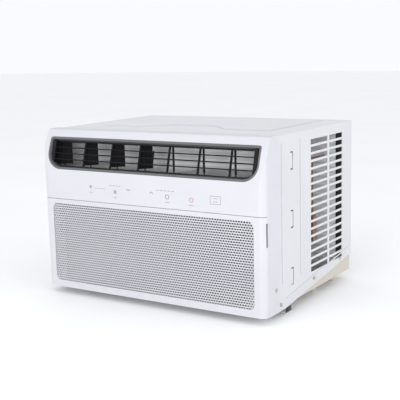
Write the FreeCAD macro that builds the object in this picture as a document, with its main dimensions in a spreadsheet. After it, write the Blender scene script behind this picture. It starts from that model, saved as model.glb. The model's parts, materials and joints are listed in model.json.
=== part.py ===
"""Window air conditioner: a steel cabinet on a base pan, a plastic front with a tilting
intake grille and an upper air outlet with adjustable vanes and louvres, and the sealed
cooling circuit, the twin-fan motor and the electrics inside.

Millimetres. X runs across the front, Y runs back from the front face and Z is up. The
origin is at floor level under the middle of the whole unit.
"""
import FreeCAD, Part
import math
import os
import re
from FreeCAD import Placement, Rotation, Vector

doc = FreeCAD.newDocument("window_air_conditioner")
sheet = doc.addObject("Spreadsheet::Sheet", "sizes")

SIZES = {
    # overall
    "unit_width": 595, "unit_height": 391, "unit_depth": 445, "foot_drop": 16,
    # plastic front
    "panel_wall": 2.5, "corner_round": 16, "top_round": 6, "lean_radius": 196,
    "lean_height": 105, "frame_reach": 64, "tongue_reach": 20, "tongue_wall": 2,
    "fit_gap": 0.3, "seam_height": 214.3, "seam_gap": 1.0,
    # intake grille
    "grille_depth": 14, "grille_wall": 2.2, "field_half": 271, "field_low": 15,
    "field_high": 204, "field_round": 15, "hole_width": 7, "hole_pitch": 12.8,
    "slit_low": 150, "slit_high": 200, "slit_width": 5, "grille_axis_setback": 9,
    "grille_axis_rise": 5.2, "hinge_boss": 4, "hinge_pin": 1.6, "pin_slack": 0.05,
    "ear_inset": 30, "ear_width": 4, "rim_setback": 20,
    # air filter
    "filter_thick": 3, "filter_setback": 7, "filter_border": 8, "filter_bar": 2,
    "filter_half": 245, "filter_low": 18, "filter_high": 205,
    # air outlet
    "outlet_half": 283, "outlet_drop": 16, "outlet_height": 74, "outlet_round": 38,
    "outlet_top_round": 6, "bezel_band": 7.5, "bezel_lip": 2, "bezel_depth": 12,
    "bezel_sink": 0.5, "louvre_frame_rear": 20, "louvre_frame_wall": 3,
    "louvre_frame_lap": 4, "cheek_width": 9, "cheek_front": 4, "louvre_count": 3,
    "louvre_chord": 10, "louvre_thick": 1.8, "louvre_setback": 9, "louvre_pin": 1,
    "louvre_crank": 3.4, "louvre_link_x": 11, "louvre_link_wide": 2,
    "rib_width": 4, "rib_front": 15, "rib_rear": 18,
    # upright vanes
    "vane_pitch": 78.5, "vane_first": 264, "vane_setback": 42, "vane_thick": 1.6,
    "vane_rear": 19, "vane_pin": 1.5, "vane_axle": 2.4, "vane_low_gap": 6,
    "vane_high_gap": 4, "vane_front_low": 17, "vane_front_high": 5,
    "vane_left_angle": 42, "vane_right_angle": 33, "link_thick": 1.5,
    "link_slack": 0.8,
    # steel cabinet
    "sheet_wall": 1, "cabinet_inset": 1.3, "cabinet_round": 2.4, "rear_flange": 14,
    "vent_rows": 18, "vent_pitch": 17, "vent_height": 11.5, "vent_low": 50,
    "vent_start": 218, "vent_middle": 306, "vent_bar": 10, "vent_end": 389,
    "bead_height": 1.4, "crown_rise": 1.2, "bead_width": 6, "bead_low": 56, "bead_high": 356,
    "bead_front": 76, "bead_rear": 164, "tab_setback": 128, "tab_height": 39,
    "tab_low": 44, "tab_pitch": 126, "tab_slot": 2.8, "tab_depth": 9,
    "hem_start": 96, "hem_rise": 44, "hem_end": 430, "hem_band": 20,
    "crown_half": 230, "crown_front": 150, "crown_step": 60, "crown_rear": 425,
    "notch_wide": 14, "notch_deep": 2.5, "left_notch": -88, "left_notch_setback": 267,
    "right_notch": 181, "right_notch_setback": 290,
    "rail_hole": 2.2, "rail_hole_setback": 110, "rail_hole_spread": 400,
    # base
    "pan_front": 24, "pan_bottom": 22, "pan_height": 40, "pan_side_gap": 1.5,
    "pan_rear_gap": 4, "pan_wall": 1.2, "rib_half": 8, "rib_rise": 3, "rib_start": 180,
    "rib_end": 300, "rail_setback": 96, "rail_width": 32, "rail_wall": 1.5,
    "rail_end_gap": 4, "rail_bolt": 3, "rail_bolt_spread": 420, "sill_hole": 2.5, "sill_hole_spread": 300,
    "foot_radius": 11,
    "foot_front": 290, "foot_rear": 395, "foot_inset": 34, "cabinet_low": 0,
    "drain_radius": 7, "drain_inset": 70, "drain_setback": 330,
    # coils
    "coil_thick": 30, "coil_low": 36, "fin_pitch": 5, "fin_thick": 1.6, "fin_depth": 6,
    "evaporator_front": 27, "evaporator_left": 262, "evaporator_right": 190,
    "evaporator_high": 222, "condenser_front": 392, "condenser_half": 262,
    "condenser_high": 372, "tube_radius": 4, "tube_rows": 8,
    # blower, duct and partition
    "axis_x": 60, "axis_z": 152, "scroll_front": 66, "scroll_rear": 138,
    "scroll_radius": 120, "scroll_wall": 2.5, "inlet_radius": 86, "wheel_radius": 98,
    "wheel_front": 73, "wheel_rear": 130, "wheel_blades": 36, "wheel_band": 16,
    "duct_wall": 2.5, "duct_rear": 146, "duct_side": 4, "duct_low_lap": 3,
    "duct_high_lap": 9, "bulkhead_setback": 149, "bulkhead_wall": 1.2,
    # motor and outdoor fan
    "motor_front": 160, "motor_rear": 236, "motor_radius": 52, "shaft_radius": 6, "shaft_hole": 20,
    "shaft_rear": 345, "fan_radius": 104, "fan_front": 304, "fan_rear": 336,
    "slinger_radius": 116, "slinger_wall": 2.5, "fan_blades": 5, "shroud_setback": 346,
    "shroud_wall": 2, "shroud_hole": 112, "shroud_flare": 18, "shroud_gap": 3,
    "seal_front": 387, "seal_rear": 419, "seal_slack": 0.6,
    # sealed circuit
    "compressor_x": 195, "compressor_setback": 236, "compressor_radius": 58,
    "compressor_low": 46, "compressor_high": 250, "stud_circle": 72, "stud_radius": 4,
    "grommet_radius": 10, "accumulator_radius": 22,
    # electrics
    "box_left": 112, "box_right": 276, "box_front": 68, "box_rear": 140,
    "box_low": 70, "box_high": 262, "box_wall": 2, "board_thick": 1.6,
    "capacitor_radius": 20, "capacitor_length": 75, "touch_half": 190,
    "touch_low": 222, "touch_high": 264,
    # fasteners and glands
    "frame_screw_setback": 46.5, "frame_screw_rise": 50.7, "front_screw_setback": 69,
    "front_screw_rise": 13.3, "middle_screw_setback": 232.5, "middle_screw_rise": 32.7,
    "rear_screw_setback": 376.8, "rear_screw_rise": 48.3, "screw_head": 4.5,
    "screw_height": 3, "screw_shank": 1.9, "gland_radius": 9,
    "gland_bore": 5, "gland_setback": 120, "gland_height": 62,
}

NAMES = {
    "half": "unit_width / 2",
    "front": "-unit_depth / 2",
    "back": "unit_depth / 2",
    "seam": "foot_drop + seam_height",
    "cabinet_half": "half - cabinet_inset",
    "cabinet_top": "unit_height - cabinet_inset",
    "lean_start": "unit_height - foot_drop - lean_height",
    "outlet_high": "unit_height - foot_drop - outlet_drop",
    "outlet_low": "unit_height - foot_drop - outlet_drop - outlet_height",
    "vane_low": "unit_height - foot_drop - outlet_drop - outlet_height + vane_low_gap",
    "vane_high": "unit_height - foot_drop - outlet_drop - vane_high_gap",
    "duct_low": "unit_height - foot_drop - outlet_drop - outlet_height - duct_low_lap",
    "duct_high": "unit_height - foot_drop - outlet_drop + duct_high_lap",
    "fan_x": "-axis_x",
    "bulkhead_face": "front + bulkhead_setback",
}


def fill_sheet():
    """Put every driving size in the sheet under its own alias."""
    for row, (name, number) in enumerate(SIZES.items(), start=1):
        sheet.set(f"A{row}", name)
        sheet.set(f"B{row}", str(number))
        sheet.setAlias(f"B{row}", name)
    doc.recompute()


def expand(text):
    """Write an expression in plain names as one that reads the sheet."""
    text = str(text)
    while any(re.search(rf"\b{name}\b", text) for name in NAMES):
        for name, meaning in NAMES.items():
            text = re.sub(rf"\b{name}\b", f"({meaning})", text)
    return re.sub(r"\b[a-z]+(?:_[a-z]+)*\b", lambda m: f"sizes.{m[0]}" if m[0] in SIZES else m[0], text)


def size(text):
    """The number that an expression gives now."""
    return float(sheet.evalExpression(expand(text)))


def bind(thing, **properties):
    for name, text in properties.items():
        thing.setExpression(name, expand(text))


def seat(thing, x="0", y="0", z="0"):
    """Tie an object's place to the sheet."""
    for axis, text in zip("xyz", (x, y, z)):
        thing.setExpression(f".Placement.Base.{axis}", expand(text))


# ---------------------------------------------------------------- building blocks
def box(name, x, y, z):
    """A block between two expressions on each axis."""
    block = doc.addObject("Part::Box", name)
    bind(block, Length=f"({x[1]}) - ({x[0]})", Width=f"({y[1]}) - ({y[0]})",
         Height=f"({z[1]}) - ({z[0]})")
    seat(block, x[0], y[0], z[0])
    return block


def rod(name, radius, length, at, axis="Z"):
    """A round bar from a start point along an axis."""
    bar = doc.addObject("Part::Cylinder", name)
    turn = {"X": Rotation(Vector(0, 1, 0), 90), "Y": Rotation(Vector(1, 0, 0), -90),
            "Z": Rotation()}[axis]
    bar.Placement = Placement(Vector(), turn)
    bind(bar, Radius=radius, Height=length)
    seat(bar, *at)
    return bar


def combine(kind, name, pieces):
    result = doc.addObject(kind, name)
    result.Shapes = pieces
    return result


def fuse(name, *pieces):
    return combine("Part::MultiFuse", name, list(pieces))


def common(name, *pieces):
    return combine("Part::MultiCommon", name, list(pieces))


def cut(name, base, *tools):
    result = doc.addObject("Part::Cut", name)
    result.Base = base
    result.Tool = tools[0] if len(tools) == 1 else fuse(name + "_tools", *tools)
    return result


def round_off(name, base, radius, chosen):
    """Fillet the edges of a finished block that a test picks out."""
    doc.recompute()
    result = doc.addObject("Part::Fillet", name)
    result.Base = base
    edges = enumerate(base.Shape.Edges, start=1)
    result.Edges = [(number, size(radius), size(radius)) for number, edge in edges if chosen(edge)]
    return result


def runs_along(edge, axis):
    first, last = edge.Vertexes[0].Point, edge.Vertexes[-1].Point
    run = last.sub(first)
    return run.Length > 1e-6 and abs(run.dot(axis)) / run.Length > 0.999


PLANES = {"XY": ("XY_Plane", 1), "XZ": ("XZ_Plane", -1), "YZ": ("YZ_Plane", 1)}


def sketch_on(body, name, plane, points, level):
    """A closed outline on one of the body's own planes, tied to the sheet."""
    role, sign = PLANES[plane]
    support = next(f for f in body.Origin.OriginFeatures if f.Role == role)
    sketch = body.newObject("Sketcher::SketchObject", name)
    sketch.AttachmentSupport = [(support, "")]
    sketch.MapMode = "FlatFace"
    sketch.setExpression(".AttachmentOffset.Base.z", expand(f"{sign} * ({level})"))
    corners = [Vector(size(u), size(v), 0) for u, v in points]
    for index, corner in enumerate(corners):
        sketch.addGeometry(Part.LineSegment(corner, corners[(index + 1) % len(corners)]), False)
    for index, (u, v) in enumerate(points):
        following = (index + 1) % len(points)
        sketch.addConstraint(Sketcher.Constraint("Coincident", index, 2, following, 1))
        for kind, text in (("DistanceX", u), ("DistanceY", v)):
            rule = Sketcher.Constraint(kind, -1, 1, index, 1, size(text))
            number = sketch.addConstraint(rule)
            sketch.setExpression(f"Constraints[{number}]", expand(text))
    return sketch


def pad(body, name, plane, points, near, far):
    """Material between two levels along the plane's own axis."""
    sketch = sketch_on(body, name + "_outline", plane, points, far if plane == "XZ" else near)
    feature = body.newObject("PartDesign::Pad", name)
    feature.Profile = sketch
    bind(feature, Length=f"({far}) - ({near})")
    return feature


def pocket(body, name, plane, points, near, far):
    """An opening between two levels along the plane's own axis."""
    sketch = sketch_on(body, name + "_outline", plane, points, near if plane == "XZ" else far)
    feature = body.newObject("PartDesign::Pocket", name)
    feature.Profile = sketch
    bind(feature, Length=f"({far}) - ({near})")
    return feature


def pattern(body, name, feature, axis, pitch, count):
    """Repeat a feature in a row."""
    row = body.newObject("PartDesign::LinearPattern", name)
    row.Originals = [feature]
    row.Direction = (feature.Profile[0], [axis])
    row.Mode = "Spacing"
    bind(row, Offset=pitch, Occurrences=count)
    body.Tip = row
    return row


def rectangle(u, v):
    return [(u[0], v[0]), (u[1], v[0]), (u[1], v[1]), (u[0], v[1])]


def new_body(name):
    return doc.addObject("PartDesign::Body", name)


def shaped(name, shape):
    """A piece that only a swept, lofted or repeated outline describes."""
    piece = doc.addObject("Part::Feature", name)
    piece.Shape = shape
    return piece


PARTS = {}


def part(name, piece):
    """Keep a finished sub-part under its own label."""
    piece.Label = name
    PARTS[name] = piece
    return piece


def mirrored(shape):
    return shape.mirror(Vector(), Vector(1, 0, 0))


def ring(outer, inner, start, length, axis):
    """A plain tube as a shape."""
    return Part.makeCylinder(outer, length, start, axis).cut(Part.makeCylinder(inner, length, start, axis))


ALONG_X, ALONG_Y, ALONG_Z = Vector(1, 0, 0), Vector(0, 1, 0), Vector(0, 0, 1)


# ---------------------------------------------------------------- plastic front
def front_envelope(name, inset, reach):
    """The outer form of the front: upright below, leaning back above, with round corners."""
    inset = f"({inset})"
    wide = (f"-half + {inset}", f"half - {inset}")
    deep = (f"front + {inset}", f"front + {reach}")
    bend = "foot_drop + lean_start"
    lower = box(name + "_lower", wide, deep, (f"foot_drop + {inset}", bend))
    upper = box(name + "_upper", wide, deep, (bend, f"unit_height - {inset}"))
    sweep = rod(name + "_sweep", f"lean_radius - {inset}", "unit_width",
                ("-half", "front + lean_radius", bend), "X")
    side = fuse(name + "_side", lower, common(name + "_lean", upper, sweep))
    side.Refine = True
    crest, rear = size(f"unit_height - {inset}"), size(f"front + {reach}")
    top = round_off(name + "_top", side, f"top_round - {inset} / 2", lambda edge:
                    runs_along(edge, ALONG_X) and edge.CenterOfMass.z > crest - 0.01
                    and edge.CenterOfMass.y < rear - 1)
    face = size(f"front + {inset}")
    plan = box(name + "_plan", wide, deep, ("0", "unit_height"))
    corners = round_off(name + "_corners", plan, f"corner_round - {inset}", lambda edge:
                        runs_along(edge, ALONG_Z) and edge.CenterOfMass.y < face + 0.01)
    return common(name, top, corners)


def outlet_placement():
    """The outlet's own frame: origin on the leaning face, Y inwards, Z up the face."""
    radius = size("lean_radius")
    rise = size("(outlet_low + outlet_high) / 2 - lean_start")
    origin = Vector(0, size("front") + radius - math.sqrt(radius ** 2 - rise ** 2),
                    size("foot_drop + (outlet_low + outlet_high) / 2"))
    lean = math.degrees(math.asin(rise / radius))
    return Placement(origin, Rotation(ALONG_X, -lean)), math.radians(lean)


def outlet_half_height():
    return size("(outlet_high - outlet_low) / 2") / math.cos(outlet_placement()[1])


def rounded_wire(half_width, low, high, low_round, high_round, level):
    """A rectangle with round corners in an upright plane, as one closed wire."""
    edges, bow = [], math.sqrt(0.5)
    turns = [(1, -1, low_round), (1, 1, high_round), (-1, 1, high_round), (-1, -1, low_round)]
    arcs = []
    for side, rise, r in turns:
        centre = Vector(side * (half_width - r), level, (high if rise > 0 else low) - rise * r)
        flat, upright = Vector(0, 0, rise * r), Vector(side * r, 0, 0)
        first, last = (flat, upright) if side * rise < 0 else (upright, flat)
        arcs.append((centre + first, centre + (first + last) * bow, centre + last))
    for index, (first, middle, last) in enumerate(arcs):
        edges.append(Part.Arc(first, middle, last).toShape())
        edges.append(Part.LineSegment(last, arcs[(index + 1) % 4][0]).toShape())
    return Part.Wire(edges)


def outlet_wire(inset, level):
    """The rounded outline of the outlet, drawn smaller by an inset, at a depth."""
    rise = outlet_half_height() - inset
    return rounded_wire(size("outlet_half") - inset, -rise, rise,
                        max(size("outlet_round") - inset, 1),
                        max(size("outlet_top_round") - inset, 1), level)


def outlet_prism(inset, near, far):
    """A block of the outlet's outline between two depths, in the outlet's own frame."""
    return Part.Face(outlet_wire(inset, near)).extrude(Vector(0, far - near, 0))


def into_outlet(shape):
    """Move a shape from the outlet's own frame to the unit's."""
    moved = shape.copy()
    moved.Placement = outlet_placement()[0].multiply(shape.Placement)
    return moved


def side_screws(radius, start, length):
    """Round bars along X at each side screw, from a distance off the middle."""
    bars = []
    for setback, rise in SIDE_SCREWS:
        at = Vector(size(start), size(f"front + {setback}"), size(f"foot_drop + {rise}"))
        bar = Part.makeCylinder(size(radius), size(length), at, ALONG_X)
        bars += [bar, mirrored(bar)]
    return Part.makeCompound(bars)


SIDE_SCREWS = [("frame_screw_setback", "frame_screw_rise"),
               ("front_screw_setback", "front_screw_rise"),
               ("middle_screw_setback", "middle_screw_rise"),
               ("rear_screw_setback", "rear_screw_rise")]


def build_front_frame():
    """The moulded front: a shell open at the back, with the outlet and the grille recess."""
    skin = front_envelope("front_skin", "0", "frame_reach")
    hollow = front_envelope("front_hollow", "panel_wall", "frame_reach + 5")
    recess = box("grille_recess", ("-half - 1", "half + 1"), ("front - 1", "front + grille_depth + fit_gap"),
                 ("0", "seam"))
    shell = cut("front_shell", skin, hollow, recess)
    inner = "panel_wall + tongue_wall"
    tongue_end = "frame_reach + tongue_reach"
    outside = front_envelope("tongue_outside", "panel_wall", tongue_end)
    inside = front_envelope("tongue_inside", inner, f"{tongue_end} + 5")
    behind = box("tongue_zone", ("-half", "half"),
                 ("front + frame_reach - tongue_reach", f"front + {tongue_end}"),
                 ("pan_bottom + pan_height + 2", "unit_height"))
    tongue = common("front_tongue", cut("tongue_shell", outside, inside), behind)
    span = ("-half + panel_wall", "half - panel_wall")
    ledge = box("seam_ledge", span, ("front + panel_wall / 2", "front + rim_setback + panel_wall"),
                ("seam", "seam + panel_wall"))
    slot = box("filter_slot", ("-filter_half - 1", "filter_half + 1"),
               ("front + filter_setback - 0.5", "front + filter_setback + filter_thick + 0.5"),
               ("seam - 1", "seam + panel_wall + 1"))
    rim = box("intake_rim", span, ("front + rim_setback", "front + rim_setback + panel_wall"),
              ("foot_drop + panel_wall / 2", "seam + panel_wall"))
    window = box("rim_window", ("-field_half", "field_half"),
                 ("front + rim_setback - 1", "front + rim_setback + panel_wall + 1"),
                 ("foot_drop + field_low", "foot_drop + field_high"))
    body = fuse("front_body", shell, tongue, cut("pierced_ledge", common("round_ledge", ledge, skin), slot),
                cut("open_rim", rim, window))
    doc.recompute()
    opening = into_outlet(outlet_prism(0, -15, 40))
    ears = [hinge_ear(), mirrored(hinge_ear())]
    shape = body.Shape.cut([opening, side_screws("screw_shank", "half - 14", "20")])
    return part("front_frame", shaped("front_frame_shape", shape.fuse(ears).removeSplitter()))


def hinge_axis():
    return Vector(0, size("front + grille_axis_setback"), size("foot_drop + grille_axis_rise"))


def hinge_ear():
    """A lug of the front frame that carries one hinge pin of the grille."""
    left, wide = size("half - ear_inset"), size("ear_width")
    axis = hinge_axis() + Vector(left, 0, 0)
    radius = size("hinge_pin + 1.2")
    rim = size("front + rim_setback")
    eye = Part.makeCylinder(radius, wide, axis, ALONG_X)
    neck = Part.makeBox(wide, 2 * radius - 1.6, 16, axis - Vector(0, radius - 0.8, 0))
    arm = Part.makeBox(wide, rim - axis.y + radius, 8, axis + Vector(0, -radius + 0.8, 8))
    hole = Part.makeCylinder(size("hinge_pin"), wide, axis, ALONG_X)
    return eye.fuse([neck, arm]).cut(hole)


def build_bezel():
    """The dark funnel round the outlet, sloping in from the face."""
    sink, depth = size("bezel_sink"), size("bezel_depth")
    block = into_outlet(outlet_prism(size("fit_gap"), -15, depth))
    face = front_envelope("bezel_face", "bezel_sink", "frame_reach")
    mouth = Part.makeLoft([outlet_wire(size("bezel_lip"), -8), outlet_wire(size("bezel_band"), depth)],
                          True, True)
    doc.recompute()
    shape = block.common(face.Shape).cut(into_outlet(mouth))
    return part("outlet_bezel", shaped("bezel_shape", shape))


def louvre_levels():
    """Heights of the tilting louvres, evenly spread over the window."""
    count = int(size("louvre_count"))
    window = 2 * (outlet_half_height() - size("bezel_band + louvre_frame_wall"))
    pitch = window / (count + 1)
    return [pitch * (index - (count - 1) / 2) for index in range(count)]


def vane_places():
    """Where the upright vanes stand, left to right."""
    first, pitch = size("vane_first"), size("vane_pitch")
    return [pitch * index - first for index in range(7)]


def louvre_reach():
    """Half the length of a louvre between the cheeks."""
    return size("outlet_half - bezel_band - cheek_width - fit_gap")


def build_louvre_frame():
    """The black frame behind the bezel, with end cheeks and fixed ribs."""
    depth, rear = size("bezel_depth"), size("louvre_frame_rear")
    inset = size("bezel_band + louvre_frame_wall")
    plate = outlet_prism(-size("louvre_frame_lap"), depth, rear)
    cheeks = outlet_prism(size("bezel_band + fit_gap"), size("cheek_front"), depth)
    reach, rise = size("outlet_half - bezel_band - cheek_width"), outlet_half_height()
    middle = Part.makeBox(2 * reach, 60, 4 * rise, Vector(-reach, -20, -2 * rise))
    window = outlet_prism(inset, -1, rear + 1).common(middle)
    shape = plate.fuse(cheeks.cut(middle)).cut(window)
    wide, front = size("rib_width"), size("rib_front")
    deep = size("rib_rear") - front
    ribs = [Part.makeBox(wide, deep, 2 * rise - 2 * size("bezel_band"),
                         Vector(x - wide / 2, front, -rise + size("bezel_band"))) for x in vane_places()]
    pins = [louvre_pins(level, size("louvre_pin + pin_slack"), 6) for level in louvre_levels()]
    shape = shape.fuse(ribs).cut(pins)
    return part("louvre_frame", shaped("louvre_frame_shape", into_outlet(shape)))


def louvre_pins(level, radius, length):
    """The two end pins of a louvre, or their holes."""
    start = Vector(louvre_reach() - 1, size("louvre_setback"), level)
    pin = Part.makeCylinder(radius, length + 1, start, ALONG_X)
    return pin.fuse(mirrored(pin))


def build_louvres():
    """Flat tilting blades across the outlet, each notched where the link drives it."""
    chord, thick = size("louvre_chord"), size("louvre_thick")
    back, link_x = size("louvre_setback"), size("louvre_link_x")
    crank, wide = size("louvre_crank"), size("louvre_link_wide")
    for number, level in enumerate(louvre_levels(), start=1):
        reach = louvre_reach()
        blade = Part.makeBox(2 * reach, chord - thick, thick,
                             Vector(-reach, back - (chord - thick) / 2, level - thick / 2))
        nose = Part.makeCylinder(thick / 2, 2 * reach, Vector(-reach, back - (chord - thick) / 2, level),
                                 ALONG_X)
        tail = Part.makeCylinder(thick / 2, 2 * reach, Vector(-reach, back + (chord - thick) / 2, level),
                                 ALONG_X)
        notch = Part.makeBox(2 * wide + 2, chord, 3 * thick,
                             Vector(link_x - wide - 1, back + 1, level - 1.5 * thick))
        peg = Part.makeCylinder(size("louvre_pin - 0.2"), 2 * wide + 2,
                                Vector(link_x - wide - 1, back + crank, level), ALONG_X)
        shape = blade.fuse([nose, tail]).cut(notch)
        shape = shape.fuse([peg, louvre_pins(level, size("louvre_pin"), 5)])
        part(f"louvre_{number}", shaped(f"louvre_{number}_shape", into_outlet(shape)))


def build_louvre_link():
    """The strip that joins the louvres, so that they tilt together."""
    wide, back, crank = size("louvre_link_wide"), size("louvre_setback"), size("louvre_crank")
    levels, x = louvre_levels(), size("louvre_link_x")
    low, high = levels[0] - 3, levels[-1] + 3
    strip = Part.makeBox(wide, 3.8, high - low, Vector(x - wide / 2, back + crank - 1.9, low))
    holes = [Part.makeCylinder(size("louvre_pin + 0.25"), wide, Vector(x - wide / 2, back + crank, level),
                               ALONG_X)
             for level in levels]
    part("louvre_link", shaped("louvre_link_shape", into_outlet(strip.cut(holes))))


def vane_base(x):
    return Vector(x, size("front + vane_setback"), 0)


def build_vane(name, x, angle):
    """An upright vane: a flat blade with a leaning front edge on a round axle."""
    low, high = size("foot_drop + vane_low"), size("foot_drop + vane_high")
    thick, rear = size("vane_thick"), size("vane_rear")
    outline = [Vector(-thick / 2, -size("vane_front_low"), low), Vector(-thick / 2, rear, low),
               Vector(-thick / 2, rear, high), Vector(-thick / 2, -size("vane_front_high"), high)]
    blade = Part.Face(Part.makePolygon(outline + outline[:1])).extrude(Vector(thick, 0, 0))
    axle = Part.makeCylinder(size("vane_axle"), high - low, Vector(0, 0, low))
    floor, ceiling = size("foot_drop + duct_low"), size("foot_drop + duct_high")
    pin = Part.makeCylinder(size("vane_pin"), ceiling - floor, Vector(0, 0, floor))
    crank = Part.makeCylinder(size("vane_pin - 0.3"), high - low + 5, Vector(0, rear - 2, low))
    shape = blade.fuse([axle, pin, crank])
    shape.rotate(Vector(), ALONG_Z, angle)
    shape.translate(vane_base(x))
    return part(name, shaped(name + "_shape", shape))


def link_shift(angle):
    """How far a link bar has moved when its vanes stand at an angle."""
    return -0.9 * size("vane_rear - 2") * math.radians(angle)


def build_link(name, places, angle):
    """The bar that joins one group of vanes, with a slot for each vane's crank pin."""
    crank = size("vane_rear - 2")
    near, far = crank * math.cos(math.radians(48)), crank
    slack = size("vane_pin - 0.3 + link_slack")
    level = size("foot_drop + vane_high + 1.5")
    first = vane_base(places[0] + link_shift(angle))
    start = first + Vector(-6, near - 4, level)
    bar = Part.makeBox(places[-1] - places[0] + 12, far - near + 8, size("link_thick"), start)
    slots = []
    for x in places:
        middle = vane_base(x + link_shift(angle))
        corner = middle + Vector(-slack, near - slack, level)
        slots.append(Part.makeBox(2 * slack, far - near + 2 * slack, size("link_thick"), corner))
    return part(name, shaped(name + "_shape", bar.cut(slots)))


def build_vanes():
    """Four vanes turned one way on the left and three turned the other way on the right."""
    places = vane_places()
    left, right = -size("vane_left_angle"), size("vane_right_angle")
    for number, x in enumerate(places[:4], start=1):
        build_vane(f"vane_left_{number}", x, left)
    for number, x in enumerate(places[4:], start=1):
        build_vane(f"vane_right_{number}", x, right)
    build_link("vane_link_left", places[:4], left)
    build_link("vane_link_right", places[4:], right)


# ---------------------------------------------------------------- intake grille and filter
def build_grille():
    """The tilting intake grille: a rim with side returns round a perforated field."""
    low, top = "foot_drop", "seam - seam_gap"
    skin = front_envelope("grille_skin", "0", "frame_reach")
    zone = box("grille_zone", ("-half - 1", "half + 1"), ("front - 1", "front + grille_depth"), (low, top))
    hollow = front_envelope("grille_hollow", "grille_wall", "frame_reach")
    inner = box("grille_inner", ("-half", "half"), ("front", "front + grille_depth + 5"),
                (low, f"{top} - grille_wall"))
    rim = cut("grille_rim", common("grille_block", skin, zone), common("grille_void", hollow, inner))
    doc.recompute()
    front, floor = size("front"), size("foot_drop")
    axis = hinge_axis()
    heel = size("grille_axis_rise - 0.2")
    corner = Part.makeBox(size("unit_width + 2"), 20, size("grille_axis_rise"),
                          Vector(-size("half") - 1, axis.y, floor - 0.01))
    round_heel = Part.makeCylinder(heel, size("unit_width + 2"), Vector(-size("half") - 1, axis.y, axis.z),
                                   ALONG_X)
    field = Part.Face(field_wire()).extrude(Vector(0, size("grille_wall"), 0))
    slits = []
    for side in (-1, 1):
        x = side * size("half") - size("grille_wall + 1")
        slits.append(Part.makeBox(2 * size("grille_wall") + 2, size("slit_width"),
                                  size("slit_high - slit_low"),
                                  Vector(x, front + size("grille_depth - slit_width"),
                                         floor + size("slit_low"))))
    slot = Part.makeBox(size("2 * filter_half + 2"), size("filter_thick + 1"), 20,
                        Vector(-size("filter_half + 1"), front + size("filter_setback - 0.5"),
                               size(f"{top} - 10")))
    boss_start = axis + Vector(size("half - ear_inset + ear_width + 0.6"), 0, 0)
    boss = Part.makeCylinder(size("hinge_boss"), 8, boss_start, ALONG_X)
    web = Part.makeBox(8, axis.y - front - 1, 5, Vector(boss_start.x, front + 1, axis.z - 2))
    bore = Part.makeCylinder(size("hinge_pin + pin_slack"), 8, boss_start, ALONG_X)
    shape = rim.Shape.cut([corner.cut(round_heel), field, slot] + slits)
    bosses = boss.fuse(web)
    shape = shape.fuse([bosses, mirrored(bosses)]).cut([bore, mirrored(bore)])
    return part("intake_grille", shaped("intake_grille_shape", shape))


def field_wire():
    floor = size("foot_drop")
    return rounded_wire(size("field_half"), floor + size("field_low"), floor + size("field_high"),
                        size("field_round"), size("field_round"), size("front"))


def hole_centres():
    """Centres of the perforations: staggered rows inside the rounded field."""
    pitch, half, r = size("hole_pitch"), size("field_half"), size("field_round")
    low, high = size("foot_drop + field_low"), size("foot_drop + field_high")
    row_pitch, margin = pitch * math.sqrt(0.75), 0.75 * pitch
    rows = int((high - low - 2 * margin) / row_pitch) + 1
    columns = int((2 * half - 2 * margin) / pitch) + 1
    first_z = (low + high - (rows - 1) * row_pitch) / 2
    for row in range(rows):
        z = first_z + row * row_pitch
        count = columns - row % 2
        for column in range(count):
            x = (column - (count - 1) / 2) * pitch
            dx = max(abs(x) - (half - r), 0)
            dz = max(abs(z - (low + high) / 2) - ((high - low) / 2 - r), 0)
            if math.hypot(dx, dz) < r - margin or dx * dz == 0:
                yield x, z


def build_grille_screen():
    """The perforated field of the grille, flush in its rim, with diamond-shaped holes."""
    radius, face = size("hole_width") / 2, size("front")
    corners = [math.radians(-90 * step) for step in range(4)]
    holes = []
    for x, z in hole_centres():
        points = [Vector(x + radius * math.cos(a), face, z + radius * math.sin(a)) for a in corners]
        holes.append(Part.makePolygon(points + points[:1]))
    plate = Part.Face([field_wire()] + holes)
    return part("grille_screen",
                shaped("grille_screen_shape", plate.extrude(Vector(0, size("grille_wall"), 0))))


def build_hinge_pins():
    start = hinge_axis() + Vector(size("half - ear_inset"), 0, 0)
    pin = Part.makeCylinder(size("hinge_pin"), size("ear_width") + 8, start, ALONG_X)
    return part("grille_hinge_pins", shaped("hinge_pins_shape", Part.makeCompound([pin, mirrored(pin)])))


def build_filter():
    """The washable filter: a plastic lattice frame over a fine mesh sheet."""
    half, low, high = size("filter_half"), size("foot_drop + filter_low"), size("foot_drop + filter_high")
    front, thick = size("front + filter_setback"), size("filter_thick")
    border, bar = size("filter_border"), size("filter_bar")
    slab = Part.makeBox(2 * half, thick, high - low, Vector(-half, front, low))
    columns, rows = 6, 3
    wide = (2 * half - 2 * border - (columns - 1) * bar) / columns
    tall = (high - low - 2 * border - (rows - 1) * bar) / rows
    panes = [Part.makeBox(wide, thick, tall,
                          Vector(-half + border + c * (wide + bar), front, low + border + r * (tall + bar)))
             for c in range(columns) for r in range(rows)]
    part("filter_frame", shaped("filter_frame_shape", slab.cut(panes)))
    sheet_thick = 0.5
    middle = front + (thick - sheet_thick) / 2
    mesh = [Part.makeBox(wide, sheet_thick, tall, Vector(pane.BoundBox.XMin, middle, pane.BoundBox.ZMin))
            for pane in panes]
    part("filter_mesh", shaped("filter_mesh_shape", Part.makeCompound(mesh)))


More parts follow.
